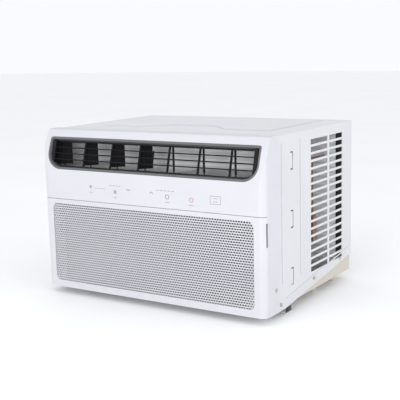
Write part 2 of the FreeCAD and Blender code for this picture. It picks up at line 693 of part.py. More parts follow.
# ---------------------------------------------------------------- steel cabinet and base
def build_cabinet():
    """The folded steel wrapper: top and sides, rear flange, side vents, tabs and beads."""
    body = new_body("cabinet_body")
    low, inside, under = "foot_drop + cabinet_low", "cabinet_half - sheet_wall", "cabinet_top - sheet_wall"
    arch = [("-cabinet_half", low), (f"-({inside})", low), (f"-({inside})", under), (inside, under),
            (inside, low), ("cabinet_half", low), ("cabinet_half", "cabinet_top"),
            ("-cabinet_half", "cabinet_top")]
    start = "front + frame_reach + fit_gap"
    wrapper = pad(body, "wrapper", "XZ", arch, start, "back")
    doc.recompute()
    folds = [f"Edge{number}" for number, edge in enumerate(wrapper.Shape.Edges, start=1)
             if runs_along(edge, ALONG_Y) and abs(abs(edge.CenterOfMass.x) - size("cabinet_half")) < 0.01
             and abs(edge.CenterOfMass.z - size("cabinet_top")) < 0.01]
    fold = body.newObject("PartDesign::Fillet", "top_folds")
    fold.Base = (wrapper, folds)
    bind(fold, Radius="cabinet_round")
    body.Tip = fold
    pad(body, "rear_plate", "XZ", rectangle(("-cabinet_half", "cabinet_half"), (low, "cabinet_top")),
        "back - sheet_wall", "back")
    pocket(body, "rear_window", "XZ",
           rectangle(("-(cabinet_half - rear_flange)", "cabinet_half - rear_flange"),
                     ("0", "cabinet_top - rear_flange")),
           "back - sheet_wall - 1", "back + 1")
    for index, (first, last) in enumerate([("vent_start", "vent_middle"),
                                           ("vent_middle + vent_bar", "vent_end")]):
        row = rectangle((f"front + {first}", f"front + {last}"),
                        ("foot_drop + vent_low", "foot_drop + vent_low + vent_height"))
        slot = pocket(body, f"vent_{index}", "YZ", row, "-half - 1", "half + 1")
        pattern(body, f"vent_column_{index}", slot, "V_Axis", "vent_pitch", "vent_rows")
    tab_front, tab_back = "front + tab_setback", "front + tab_setback + tab_slot"
    bottom, crest = "foot_drop + tab_low", "foot_drop + tab_low + tab_height"
    bracket = [(f"{tab_front} - tab_depth", bottom), (tab_back, bottom), (tab_back, crest),
               (f"{tab_front} - tab_depth", crest), (f"{tab_front} - tab_depth", f"{crest} - tab_slot"),
               (tab_front, f"{crest} - tab_slot"), (tab_front, f"{bottom} + tab_slot"),
               (f"{tab_front} - tab_depth", f"{bottom} + tab_slot")]
    tab = pocket(body, "side_tab", "YZ", bracket, "-half - 1", "half + 1")
    pattern(body, "side_tabs", tab, "V_Axis", "tab_pitch", "3")
    hem = [("front + hem_start", low), ("back + 1", low), ("back + 1", f"{low} + hem_rise"),
           ("front + hem_end", f"{low} + hem_rise")]
    pocket(body, "sloped_hem", "YZ", hem, "-half - 1", "half + 1")
    for side, (near, far) in enumerate([("cabinet_half", "cabinet_half + bead_height"),
                                        ("-cabinet_half - bead_height", "-cabinet_half")]):
        for name, place in (("front", "bead_front"), ("rear", "bead_rear")):
            strip = rectangle((f"front + {place}", f"front + {place} + bead_width"),
                              ("foot_drop + bead_low", "foot_drop + bead_high"))
            pad(body, f"{name}_bead_{side}", "YZ", strip, near, far)
        line = [("front + hem_start", f"{low} + hem_band"),
                ("front + hem_end", f"{low} + hem_rise + hem_band"),
                ("front + hem_end", f"{low} + hem_rise + hem_band + bead_height * 2"),
                ("front + hem_start", f"{low} + hem_band + bead_height * 2")]
        pad(body, f"hem_line_{side}", "YZ", line, near, far)
    plateau = [("-crown_half", "front + crown_front"), ("-crown_half / 2", "front + crown_front"),
               ("-crown_half / 4", "front + crown_front + crown_step"),
               ("crown_half / 4", "front + crown_front + crown_step"),
               ("crown_half / 2", "front + crown_front"), ("crown_half", "front + crown_front"),
               ("crown_half", "front + crown_rear"), ("-crown_half", "front + crown_rear")]
    body.Tip = pad(body, "crown", "XY", plateau, "cabinet_top", "cabinet_top + crown_rise")
    holes = [rod(f"rail_hole_{n}", "rail_hole", "10", (f"{s} * rail_hole_spread / 2",
             "front + rail_hole_setback", "cabinet_top - 5")) for n, s in enumerate((-1, 1))]
    gland = rod("gland_hole", "gland_radius", "6", ("-cabinet_half - 3", "front + gland_setback",
                "foot_drop + gland_height"), "X")
    notches = [box(f"{side}_notch_cut", (f"{side}_notch - notch_wide / 2", f"{side}_notch + notch_wide / 2"),
                   (f"front + {side}_notch_setback", f"front + {side}_notch_setback + notch_deep"),
                   ("cabinet_top - sheet_wall - 1", "unit_height + 1")) for side in ("left", "right")]
    drilled = cut("drilled_cabinet", body, *holes, *notches, gland)
    doc.recompute()
    shape = drilled.Shape.cut(side_screws("screw_shank", "half - 14", "20"))
    return part("cabinet_shell", shaped("cabinet_shell_shape", shape))


def build_base_pan():
    """The pressed tray that carries everything, with compressor studs and a drain hole."""
    wide = "cabinet_half - sheet_wall - pan_side_gap"
    block = box("pan_block", (f"-({wide})", wide), ("front + pan_front", "back - pan_rear_gap"),
                ("pan_bottom", "pan_bottom + pan_height"))
    hollow = box("pan_hollow", (f"-({wide}) + pan_wall", f"{wide} - pan_wall"),
                 ("front + pan_front + pan_wall", "back - pan_rear_gap - pan_wall"),
                 ("pan_bottom + pan_wall", "pan_bottom + pan_height + 1"))
    drain = rod("drain_hole", "drain_radius", "10",
                ("-half + drain_inset", "front + drain_setback", "pan_bottom - 5"))
    tray = cut("pan_tray", block, hollow, drain)
    ribs = [box(f"pan_rib_{n}", (f"{x} - rib_half", f"{x} + rib_half"),
                ("front + rib_start", "front + rib_end"),
                ("pan_bottom + pan_wall / 2", "pan_bottom + pan_wall + rib_rise"))
            for n, x in enumerate(("-210", "-140", "80"))]
    fused = fuse("pan_with_ribs", tray, *ribs)
    doc.recompute()
    studs = [Part.makeCylinder(size("stud_radius"), size("compressor_low - pan_bottom") + 10,
                               Vector(x, y, size("pan_bottom + pan_wall / 2"))) for x, y in stud_places()]
    shape = fused.Shape.fuse(studs).cut(side_screws("screw_shank", "half - 14", "20"))
    return part("base_pan", shaped("base_pan_shape", shape.cut(sill_bolts(6))))


def sill_bolts(length):
    """The two bolts or holes that hold the bottom rail to the pan."""
    bars = []
    for side in (-1, 1):
        at = Vector(side * size("rail_bolt_spread") / 2, size("front + rail_setback + rail_width / 2"), -1)
        bars.append(Part.makeCylinder(size("rail_bolt"), size("pan_bottom") + length, at))
    return Part.makeCompound(bars)


def stud_places():
    """Three studs on a circle under the compressor."""
    radius, x, y = size("stud_circle"), size("compressor_x"), size("front + compressor_setback")
    return [(x + radius * math.cos(math.radians(a)), y + radius * math.sin(math.radians(a)))
            for a in (90, 210, 330)]


def build_bottom_rail():
    """The galvanised hollow rail across the unit that rests on the sill."""
    wide = "cabinet_half - rail_end_gap"
    near, far = "front + rail_setback", "front + rail_setback + rail_width"
    outer = box("rail_outer", (f"-({wide})", wide), (near, far), ("0", "pan_bottom"))
    inner = box("rail_inner", ("-half", "half"), (f"{near} + rail_wall", f"{far} - rail_wall"),
                ("rail_wall", "pan_bottom - rail_wall"))
    tube = cut("rail_tube", outer, inner)
    doc.recompute()
    screws = [Part.makeCylinder(size("sill_hole"), size("rail_wall") + 2, Vector(
              side * size("sill_hole_spread") / 2, size(f"{near} + rail_width / 2"), -1)) for side in (-1, 1)]
    return part("bottom_rail", shaped("bottom_rail_shape", tube.Shape.cut([sill_bolts(6)] + screws)))


def build_feet():
    feet = []
    for setback in ("foot_front", "foot_rear"):
        for side in (-1, 1):
            at = Vector(side * size("half - foot_inset"), size(f"front + {setback}"), 0)
            feet.append(Part.makeCone(size("foot_radius - 2"), size("foot_radius"), size("pan_bottom"), at))
    return part("rear_feet", shaped("feet_shape", Part.makeCompound(feet)))


def build_drain_plug():
    at = Vector(size("-half + drain_inset"), size("front + drain_setback"), size("pan_bottom"))
    plug = Part.makeCylinder(size("drain_radius"), size("pan_wall") + 2, at)
    flange = Part.makeCylinder(size("drain_radius + 3"), 2.5, at - Vector(0, 0, 2.5))
    return part("drain_plug", shaped("plug_shape", plug.fuse(flange)))


def build_gland():
    """The bush that guards the inlet of the supply cord in the left side."""
    start = Vector(size("-cabinet_half"), size("front + gland_setback"), size("foot_drop + gland_height"))
    sleeve = ring(size("gland_radius"), size("gland_bore"), start - Vector(2, 0, 0) + Vector(1, 0, 0), 9,
                  ALONG_X)
    flange = ring(size("gland_radius + 3"), size("gland_bore"), start + Vector(size("sheet_wall"), 0, 0),
                  2, ALONG_X)
    return part("cord_inlet_bush", shaped("gland_shape", sleeve.fuse(flange)))


def hex_screw(at, outwards):
    """A hexagon head on a washer, with its shank, along X."""
    head, tall = size("screw_head"), size("screw_height")
    points = [Vector(0, 0.85 * head * math.cos(math.radians(60 * k)),
                     0.85 * head * math.sin(math.radians(60 * k)))
              for k in range(7)]
    hexagon = Part.Face(Part.makePolygon(points)).extrude(Vector(tall, 0, 0))
    washer = Part.makeCylinder(head, 1, Vector(), ALONG_X)
    shank = Part.makeCylinder(size("screw_shank"), 7, Vector(-7, 0, 0), ALONG_X)
    screw = hexagon.fuse([washer, shank])
    screw.translate(at)
    return screw if outwards > 0 else mirrored(screw)


def build_screws():
    """The hexagon washer-head screws on both sides."""
    groups = {"front_screws": (SIDE_SCREWS[:1], "half"), "cabinet_screws": (SIDE_SCREWS[1:], "cabinet_half")}
    for name, (places, face) in groups.items():
        screws = []
        for setback, rise in places:
            at = Vector(size(face), size(f"front + {setback}"), size(f"foot_drop + {rise}"))
            screws += [hex_screw(at, 1), hex_screw(at, -1)]
        part(name, shaped(name + "_shape", Part.makeCompound(screws)))
    bolts = []
    for side in (-1, 1):
        at = Vector(side * size("rail_bolt_spread") / 2, size("front + rail_setback + rail_width / 2"),
                    size("rail_wall"))
        shank = Part.makeCylinder(size("rail_bolt"), size("pan_bottom + pan_wall - rail_wall") + 3, at)
        nut = Part.makeCylinder(size("rail_bolt + 3"), 3, Vector(at.x, at.y, size("pan_bottom + pan_wall")))
        head = Part.makeCylinder(size("rail_bolt + 3"), 3, at)
        bolts.append(shank.fuse([nut, head]))
    part("rail_bolts", shaped("rail_bolts_shape", Part.makeCompound(bolts)))


# ---------------------------------------------------------------- coils and sealed circuit
def comb(left, right, front, rear, low, high):
    """A coil block with upright fins standing out of its front and back."""
    pitch, thick, deep = size("fin_pitch"), size("fin_thick"), size("fin_depth")
    count = int((right - left - thick) / pitch)
    front_edge, rear_edge = [], []
    for index in range(count):
        x = left + index * pitch
        front_edge += [Vector(x, front, low), Vector(x + thick, front, low),
                       Vector(x + thick, front + deep, low), Vector(x + pitch, front + deep, low)]
        rear_edge += [Vector(x, rear, low), Vector(x + thick, rear, low),
                      Vector(x + thick, rear - deep, low), Vector(x + pitch, rear - deep, low)]
    end = left + count * pitch
    front_edge += [Vector(end, front, low), Vector(end + thick, front, low)]
    rear_edge += [Vector(end, rear, low), Vector(end + thick, rear, low)]
    outline = front_edge + rear_edge[::-1]
    return Part.Face(Part.makePolygon(outline + outline[:1])).extrude(Vector(0, 0, high - low)), end + thick


def return_bends(left, right, middle, low, high):
    """Copper return bends at both ends of a coil, one above another."""
    rows, radius = int(size("tube_rows")), size("tube_radius")
    pitch = (high - low) / rows
    bends = []
    for index in range(rows):
        centre = low + pitch * (index + 0.5)
        for x, side in ((left, -1), (right, 1)):
            bow = Part.makeTorus(pitch / 4, radius, Vector(x, middle, centre), ALONG_Y, 0, 360, 360)
            half_space = Part.makeBox(60, 60, 60, Vector(x if side > 0 else x - 60, middle - 30, centre - 30))
            bends.append(bow.common(half_space))
    return Part.makeCompound(bends)


def build_coils():
    """The indoor and outdoor coils."""
    thick, low = size("coil_thick"), size("coil_low")
    for name, left, right, setback, high in (
            ("evaporator", "-evaporator_left", "evaporator_right", "evaporator_front", "evaporator_high"),
            ("condenser", "-condenser_half", "condenser_half", "condenser_front", "condenser_high")):
        front = size(f"front + {setback}")
        block, end = comb(size(left), size(right), front, front + thick, low, size(high))
        part(f"{name}_coil", shaped(f"{name}_block", block))
        bends = return_bends(size(left), end, front + thick / 2, low + 4, size(high) - 4)
        part(f"{name}_bends", shaped(f"{name}_bends_shape", bends))


def build_compressor():
    """The rotary compressor on rubber feet, with its accumulator and terminal cover."""
    x, y = size("compressor_x"), size("front + compressor_setback")
    radius, low, high = size("compressor_radius"), size("compressor_low"), size("compressor_high")
    can = Part.makeCylinder(radius, high - low - 30, Vector(x, y, low + 10))
    dome = Part.makeSphere(radius * 1.25, Vector(x, y, high - radius * 1.25)).common(
        Part.makeCylinder(radius, 60, Vector(x, y, high - 50)))
    plate_points = stud_places()
    plate = Part.makeCylinder(radius + 4, 4, Vector(x, y, low))
    lugs = [Part.makeCylinder(size("grommet_radius + 3"), 4, Vector(px, py, low)) for px, py in plate_points]
    holes = [Part.makeCylinder(size("stud_radius + 1"), 6, Vector(px, py, low - 1))
             for px, py in plate_points]
    stem = Part.makeCylinder(radius - 8, 12, Vector(x, y, low))
    part("compressor", shaped("compressor_shape", can.fuse([dome, plate, stem] + lugs).cut(holes)))
    floor = size("pan_bottom + pan_wall")
    mounts = [ring(size("grommet_radius"), size("stud_radius"), Vector(px, py, floor), low - floor, ALONG_Z)
              for px, py in plate_points]
    part("compressor_grommets", shaped("grommets_shape", Part.makeCompound(mounts)))
    top = size("compressor_low - pan_bottom") + 10 + size("pan_bottom + pan_wall / 2")
    nuts = [ring(size("grommet_radius - 1"), size("stud_radius"), Vector(px, py, low + 4), top - low - 5,
                 ALONG_Z)
            for px, py in plate_points]
    part("compressor_nuts", shaped("nuts_shape", Part.makeCompound(nuts)))
    cap = Part.makeCylinder(18, 16, Vector(x, y, high))
    part("terminal_cover", shaped("terminal_cover_shape", cap))
    can_x = x - radius - size("accumulator_radius") - 4
    bottle = Part.makeCylinder(size("accumulator_radius"), 110, Vector(can_x, y, low + 50))
    neck = Part.makeCylinder(size("tube_radius"), 20, Vector(can_x, y, low + 160))
    elbow = Part.makeCylinder(size("tube_radius"), 12, Vector(can_x + 17, y, low + 80), ALONG_X)
    part("accumulator", shaped("accumulator_shape", bottle.fuse([neck, elbow.cut(can)])))


def pipe(points, radius, bend):
    """A round tube along straight runs joined by equal bends."""
    edges, previous = [], points[0]
    for index in range(1, len(points) - 1):
        here = points[index]
        to_last = (points[index - 1] - here).normalize()
        to_next = (points[index + 1] - here).normalize()
        half_turn = to_last.getAngle(to_next) / 2
        reach = bend / math.tan(half_turn)
        first, last = here + to_last * reach, here + to_next * reach
        middle_way = (to_last + to_next).normalize()
        middle = here + middle_way * (bend / math.sin(half_turn) - bend)
        edges += [Part.LineSegment(previous, first).toShape(), Part.Arc(first, middle, last).toShape()]
        previous = last
    edges.append(Part.LineSegment(previous, points[-1]).toShape())
    path = Part.Wire(edges)
    start = Part.Wire(Part.makeCircle(radius, points[0], points[1] - points[0]))
    return path.makePipeShell([start], True, True)


def build_pipes():
    """Suction, discharge and capillary lines with the filter drier."""
    x, y = size("compressor_x"), size("front + compressor_setback")
    high, low, r = size("compressor_high"), size("compressor_low"), size("tube_radius")
    can_x = x - size("compressor_radius") - size("accumulator_radius") - 4
    coil_x = size("evaporator_right") + 26
    coil_y = size("front + evaporator_front + coil_thick / 2")
    suction_top = low + 220
    suction = [Vector(can_x, y, low + 180), Vector(can_x, y, suction_top),
               Vector(can_x, y - 30, suction_top + 18),
               Vector(x + 88, size("bulkhead_face") + 12, suction_top + 18),
               Vector(x + 88, coil_y + 4, suction_top + 18),
               Vector(coil_x + 64, coil_y + 4, 120), Vector(coil_x, coil_y + 4, 120)]
    part("suction_line", shaped("suction_shape", pipe(suction, r, 9)))
    out_x, out_y = size("condenser_half") + 12, size("front + condenser_front + coil_thick / 2")
    discharge = [Vector(x + 34, y, high - 6), Vector(x + 34, y, high + 50), Vector(x + 34, y + 50, high + 62),
                 Vector(out_x - 14, y + 50, high + 62), Vector(out_x - 14, out_y - 40, high + 62)]
    part("discharge_line", shaped("discharge_shape", pipe(discharge, r - 1, 9)))
    drier = Part.makeCylinder(9, 60, Vector(out_x - 34, out_y - 62, 110))
    ends = [Part.makeCylinder(2, 14, Vector(out_x - 34, out_y - 62, z)) for z in (98, 168)]
    part("filter_drier", shaped("drier_shape", drier.fuse(ends)))
    lead = [Vector(out_x - 34, out_y - 62, 182), Vector(out_x - 34, out_y - 62, 300),
            Vector(out_x - 34, size("bulkhead_face") + 20, 300),
            Vector(x + 68, size("bulkhead_face") + 20, 300)]
    part("capillary_tube", shaped("capillary_shape", pipe(lead, 1.5, 8)))


# ---------------------------------------------------------------- air path
def build_bulkhead():
    """The steel partition between the room side and the outdoor side."""
    body = new_body("bulkhead_body")
    wide = "cabinet_half - sheet_wall - 3"
    plate = rectangle((f"-({wide})", wide), ("pan_bottom + pan_wall + 0.5", "cabinet_top - sheet_wall - 1"))
    pad(body, "plate", "XZ", plate, "bulkhead_face", "bulkhead_face + bulkhead_wall")
    shaft = rectangle(("fan_x - shaft_hole", "fan_x + shaft_hole"),
                      ("axis_z - shaft_hole", "axis_z + shaft_hole"))
    body.Tip = pocket(body, "shaft_opening", "XZ", shaft, "bulkhead_face - 1", "bulkhead_face + 5")
    pipes = rectangle(("compressor_x + 70", f"{wide} + 1"), ("compressor_low + 200", "compressor_low + 270"))
    body.Tip = pocket(body, "pipe_opening", "XZ", pipes, "bulkhead_face - 1", "bulkhead_face + 5")
    return part("bulkhead", body)


def scroll_outline(inset, front, rear):
    """The blower housing's form: a round drum with an open throat going up."""
    radius, x, z = size("scroll_radius") - inset, size("fan_x"), size("axis_z")
    drum = Part.makeCylinder(radius, rear - front, Vector(x, front, z), ALONG_Y)
    throat = Part.makeBox(2 * radius, rear - front, size("foot_drop + duct_low") - z,
                          Vector(x - radius, front, z))
    return drum.fuse(throat)


def build_scroll():
    """The blower housing with its inlet ring in front and a shaft hole behind."""
    front, rear, wall = size("front + scroll_front"), size("front + scroll_rear"), size("scroll_wall")
    x, z = size("fan_x"), size("axis_z")
    shell = scroll_outline(0, front, rear).cut(scroll_outline(wall, front + wall, rear - wall))
    above = Part.makeBox(2 * size("scroll_radius") - 2 * wall, rear - front - 2 * wall, 20,
                         Vector(x - size("scroll_radius") + wall, front + wall,
                                size("foot_drop + duct_low") - 10))
    inlet = Part.makeCylinder(size("inlet_radius"), wall + 2, Vector(x, front - 1, z), ALONG_Y)
    shaft = Part.makeCylinder(size("shaft_hole"), wall + 2, Vector(x, rear - wall - 1, z), ALONG_Y)
    part("blower_housing", shaped("scroll_shape", shell.cut([above, inlet, shaft])))
    bell = Part.makeCone(size("inlet_radius + 8"), size("inlet_radius"), 6, Vector(x, front - 6, z), ALONG_Y)
    hole = Part.makeCone(size("inlet_radius + 6"), size("inlet_radius - 2"), 6, Vector(x, front - 6, z),
                         ALONG_Y)
    part("inlet_ring", shaped("inlet_ring_shape", bell.cut(hole)))


def build_duct():
    """The upper air duct from the blower to the outlet."""
    wall, reach = size("duct_wall"), size("outlet_half + duct_side")
    low, high, rear = size("foot_drop + duct_low"), size("foot_drop + duct_high"), size("front + duct_rear")
    front = size("front")
    outer_face = front_envelope("duct_outer", "panel_wall + fit_gap", "frame_reach + 90")
    doc.recompute()
    outer = Part.makeBox(2 * reach, rear - front, high - low,
                         Vector(-reach, front, low)).common(outer_face.Shape)
    inner = Part.makeBox(2 * (reach - wall), rear - front - wall, high - low - 2 * wall,
                         Vector(wall - reach, front, low + wall))
    mouth = into_outlet(outlet_prism(-size("louvre_frame_lap + fit_gap"), -30,
                                     size("louvre_frame_rear + fit_gap")))
    radius, x = size("scroll_radius - scroll_wall"), size("fan_x")
    depth = size("scroll_rear - scroll_front - 2 * scroll_wall")
    throat = Part.makeBox(2 * radius, depth, 10,
                          Vector(x - radius, size("front + scroll_front + scroll_wall"), low - 5))
    pins = [Part.makeCylinder(size("vane_pin + pin_slack"), high - low + 2,
                              vane_base(vx) + Vector(0, 0, low - 1))
            for vx in vane_places()]
    lip = Part.makeBox(2 * reach, 22, high - low, Vector(-reach, front, low))
    return part("air_duct", shaped("duct_shape", outer.cut([inner, mouth, throat, lip.common(inner)] + pins)))


def build_shroud():
    """The baffle that leads the fan's air to the outdoor coil."""
    low, high = size("pan_bottom + pan_wall + 1"), size("cabinet_top - sheet_wall - 4")
    face, wall = size("front + shroud_setback"), size("shroud_wall")
    reach, x = size("condenser_half + shroud_flare"), size("fan_x")
    flat = size("shroud_hole + 12")
    rear = size("front + condenser_front - shroud_gap")
    left, right = x - flat, x + flat
    spine = [(-reach, rear), (left, face), (right, face), (reach, rear)]
    outline = [Vector(px, py, low) for px, py in spine] + [Vector(px, py - wall, low)
                                                           for px, py in spine[::-1]]
    band = Part.Face(Part.makePolygon(outline + outline[:1])).extrude(Vector(0, 0, high - low))
    hole = Part.makeCylinder(size("shroud_hole"), wall + 4, Vector(x, face - wall - 2, size("axis_z")),
                             ALONG_Y)
    lid_outline = [Vector(px, py, high - wall) for px, py in spine]
    lid = Part.Face(Part.makePolygon(lid_outline + lid_outline[:1])).extrude(Vector(0, 0, wall))
    return part("condenser_shroud", shaped("shroud_shape", band.cut(hole).fuse(lid)))


def build_shroud_seals():
    """Foam strips that close the gap between the ends of the outdoor coil and the cabinet."""
    slack = size("seal_slack")
    inner = size("condenser_half + shroud_flare") + slack
    outer = size("cabinet_half - sheet_wall") - slack
    near, far = size("front + seal_front"), size("front + seal_rear")
    low = size("foot_drop + rear_screw_rise + screw_head") + slack
    high = size("cabinet_top - sheet_wall") - slack
    strip = Part.makeBox(outer - inner, far - near, high - low, Vector(inner, near, low))
    return part("shroud_seals", shaped("seal_shape", Part.makeCompound([strip, mirrored(strip)])))


# ---------------------------------------------------------------- motor and fans
def fan_axis(setback):
    return Vector(size("fan_x"), size(f"front + {setback}"), size("axis_z"))


def build_motor():
    """The double-ended fan motor on its bracket."""
    front, length, radius = fan_axis("motor_front"), size("motor_rear - motor_front"), size("motor_radius")
    can = Part.makeCylinder(radius, length, front, ALONG_Y)
    bosses = Part.makeCylinder(16, length + 12, front - Vector(0, 6, 0), ALONG_Y)
    bore = Part.makeCylinder(size("shaft_radius + pin_slack"), length + 20, front - Vector(0, 10, 0), ALONG_Y)
    part("fan_motor", shaped("motor_shape", can.fuse(bosses).cut(bore)))
    shaft_start = fan_axis("wheel_front + 20")
    shaft = Part.makeCylinder(size("shaft_radius"), size("shaft_rear - wheel_front - 20"), shaft_start,
                              ALONG_Y)
    part("motor_shaft", shaped("shaft_shape", shaft))
    middle = fan_axis("(motor_front + motor_rear) / 2 - 15")
    band = ring(radius + 3, radius, middle, 30, ALONG_Y)
    floor = size("pan_bottom + pan_wall")
    post = Part.makeBox(70, 30, middle.z - radius - floor + 8, Vector(middle.x - 35, middle.y, floor))
    drum = Part.makeCylinder(radius, 40, middle - Vector(0, 5, 0), ALONG_Y)
    tie = Part.makeBox(120, 30, 3, Vector(middle.x - 60, middle.y, floor))
    part("motor_bracket", shaped("bracket_shape", band.fuse([post, tie]).cut(drum)))


def build_wheel():
    """The indoor blower wheel: forward blades between a back plate and a front band."""
    start, rear = fan_axis("wheel_front"), fan_axis("wheel_rear")
    radius, band = size("wheel_radius"), size("wheel_band")
    width, plate = rear.y - start.y, 2.5
    bore = size("shaft_radius")
    disc = ring(radius, bore, rear - Vector(0, plate, 0), plate, ALONG_Y)
    rim = ring(radius, radius - band, start, 2.5, ALONG_Y)
    hub = ring(16, bore, rear - Vector(0, 30, 0), 30, ALONG_Y)
    count = int(size("wheel_blades"))
    blades = []
    for index in range(count):
        blade = Part.makeBox(1.6, width, band - 1, start + Vector(-0.8, 0, radius - band + 0.5))
        blade.rotate(start + Vector(0, 0, radius - band / 2), ALONG_Y, 25)
        blade.rotate(start, ALONG_Y, 360 * index / count)
        blades.append(blade)
    limit = ring(radius, radius - band - 4, start, width, ALONG_Y)
    shape = disc.fuse([rim, hub] + [blade.common(limit) for blade in blades])
    return part("blower_wheel", shaped("wheel_shape", shape))


def build_fan():
    """The outdoor propeller fan with the slinger ring on its tips."""
    start, width = fan_axis("fan_front"), size("fan_rear - fan_front")
    radius, bore = size("fan_radius"), size("shaft_radius")
    hub = ring(26, bore, start, width, ALONG_Y)
    slinger = ring(size("slinger_radius"), size("slinger_radius - slinger_wall"),
                   start + Vector(0, width - 14, 0), 14, ALONG_Y)
    count, blades = int(size("fan_blades")), []
    limit = ring(size("slinger_radius") - 1, 24, start, width, ALONG_Y)
    for index in range(count):
        blade = Part.makeBox(88, 2.2, size("slinger_radius"), start + Vector(-44, width / 2 - 1.1, 0))
        blade.rotate(start + Vector(0, width / 2, 0), ALONG_Z, 20)
        blade = blade.common(limit)
        blade.rotate(start, ALONG_Y, 360 * index / count)
        blades.append(blade)
    return part("axial_fan", shaped("fan_shape", hub.fuse([slinger] + blades)))


# ---------------------------------------------------------------- electrics
def build_electrics():
    """The control box with its board, capacitor and cover, and the touch board."""
    left, right = "box_left", "box_right"
    outer = box("control_case", (left, right), ("front + box_front", "front + box_rear"),
                ("box_low", "box_high"))
    inner = box("control_space", (f"{left} + box_wall", f"{right} - box_wall"),
                ("front + box_front - 1", "front + box_rear - box_wall"),
                ("box_low + box_wall", "box_high - box_wall"))
    part("control_box", cut("control_box_cut", outer, inner))
    part("control_box_cover",
         box("cover_plate", (left, right), ("front + box_front - box_wall", "front + box_front"),
                                  ("box_low", "box_high")))
    part("power_board", box("board_plate", (f"{left} + 14", f"{right} - 50"),
                            ("front + box_rear - box_wall - 8",
                             "front + box_rear - box_wall - 8 + board_thick"),
                            ("box_low + 16", "box_high - 16")))
    part("run_capacitor", rod("capacitor_can", "capacitor_radius", "capacitor_length",
                              (f"{right} - 26", "front + box_rear - box_wall - capacitor_radius - 2",
                               "box_low + box_wall")))
    board = box("touch_plate", ("-touch_half", "touch_half"),
                ("front + panel_wall + 0.2", "front + panel_wall + 0.2 + board_thick"),
                ("foot_drop + touch_low", "foot_drop + touch_high"))
    part("touch_board", board)
    sensor = rod("sensor_bulb", "3", "40",
                 ("100", "front + evaporator_front + coil_thick + 3.5", "foot_drop + 150"), "X")
    part("coil_sensor", sensor)


def check_and_save():
    """Stop on any failed feature or broken solid, then write every sub-part."""
    doc.recompute()
    for thing in doc.Objects:
        if {"Invalid", "Error"} & set(thing.State):
            raise RuntimeError(f"{thing.Name} failed: {thing.State}")
    for name, piece in PARTS.items():
        if piece.Shape.isNull() or not piece.Shape.isValid() or not piece.Shape.Solids:
            raise RuntimeError(f"{name} has no sound shape")
    os.makedirs("parts", exist_ok=True)
    for name, piece in PARTS.items():
        piece.Shape.exportStep(f"parts/{name}.step")


def main():
    fill_sheet()
    build_front_frame()
    build_bezel()
    build_louvre_frame()
    build_louvres()
    build_louvre_link()
    build_vanes()
    build_grille()
    build_grille_screen()
    build_hinge_pins()
    build_filter()
    build_cabinet()
    build_base_pan()
    build_bottom_rail()
    build_feet()
    build_drain_plug()
    build_gland()
    build_screws()
    build_coils()
    build_compressor()
    build_pipes()
    build_bulkhead()
    build_scroll()
    build_duct()
    build_shroud()
    build_shroud_seals()
    build_motor()
    build_wheel()
    build_fan()
    build_electrics()
    check_and_save()


main()
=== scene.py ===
import json
import math

import bpy
from mathutils import Matrix, Vector


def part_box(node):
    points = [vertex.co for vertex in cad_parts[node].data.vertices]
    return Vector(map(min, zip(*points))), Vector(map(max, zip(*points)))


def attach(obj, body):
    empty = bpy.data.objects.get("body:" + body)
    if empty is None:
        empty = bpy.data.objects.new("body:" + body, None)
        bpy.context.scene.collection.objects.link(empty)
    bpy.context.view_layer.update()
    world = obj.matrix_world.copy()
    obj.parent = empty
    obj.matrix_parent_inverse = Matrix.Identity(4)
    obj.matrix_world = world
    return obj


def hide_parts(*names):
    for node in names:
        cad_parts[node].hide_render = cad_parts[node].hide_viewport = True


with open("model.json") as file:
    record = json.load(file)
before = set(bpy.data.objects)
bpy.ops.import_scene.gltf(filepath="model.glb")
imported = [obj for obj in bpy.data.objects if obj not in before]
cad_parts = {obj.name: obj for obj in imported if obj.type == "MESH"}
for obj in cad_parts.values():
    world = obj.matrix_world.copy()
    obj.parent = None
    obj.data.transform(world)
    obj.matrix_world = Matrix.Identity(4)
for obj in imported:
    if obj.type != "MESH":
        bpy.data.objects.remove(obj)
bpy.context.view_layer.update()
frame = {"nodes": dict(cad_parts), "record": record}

MM = 0.001
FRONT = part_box("intake_grille")[0].y
PANEL_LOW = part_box("intake_grille")[0].z


# ---------------------------------------------------------------- finishes

def add(tree, kind, **values):
    """A shader node, with its properties and its unlinked inputs set by name."""
    made = tree.nodes.new(kind)
    for key, value in values.items():
        label = key.replace("_", " ").title()
        if hasattr(made, key):
            setattr(made, key, value)
        else:
            made.inputs[label].default_value = value
    return made


def blank(name, colour, rough, metal=0.0, **shine):
    """A principled material with its constant values on the shader's own sockets."""
    material = bpy.data.materials.new(name)
    material.use_nodes = True
    tree = material.node_tree
    shader = tree.nodes["Principled BSDF"]
    shader.inputs["Base Color"].default_value = (*colour, 1)
    shader.inputs["Roughness"].default_value = rough
    shader.inputs["Metallic"].default_value = metal
    for key, value in shine.items():
        shader.inputs[key.replace("_", " ").title().replace("Ior", "IOR")].default_value = value
    return material, tree, shader


def stretched(tree, scale):
    """Object coordinates, scaled along each axis."""
    where = add(tree, "ShaderNodeTexCoord")
    turned = add(tree, "ShaderNodeMapping")
    turned.inputs["Scale"].default_value = scale
    tree.links.new(where.outputs["Object"], turned.inputs["Vector"])
    return turned.outputs["Vector"]


def noise(tree, size, scale=(1, 1, 1), detail=3.0):
    """Soft noise whose lumps are about this size in metres."""
    made = add(tree, "ShaderNodeTexNoise", scale=1 / size, detail=detail)
    tree.links.new(stretched(tree, scale), made.inputs["Vector"])
    return made.outputs["Fac"]


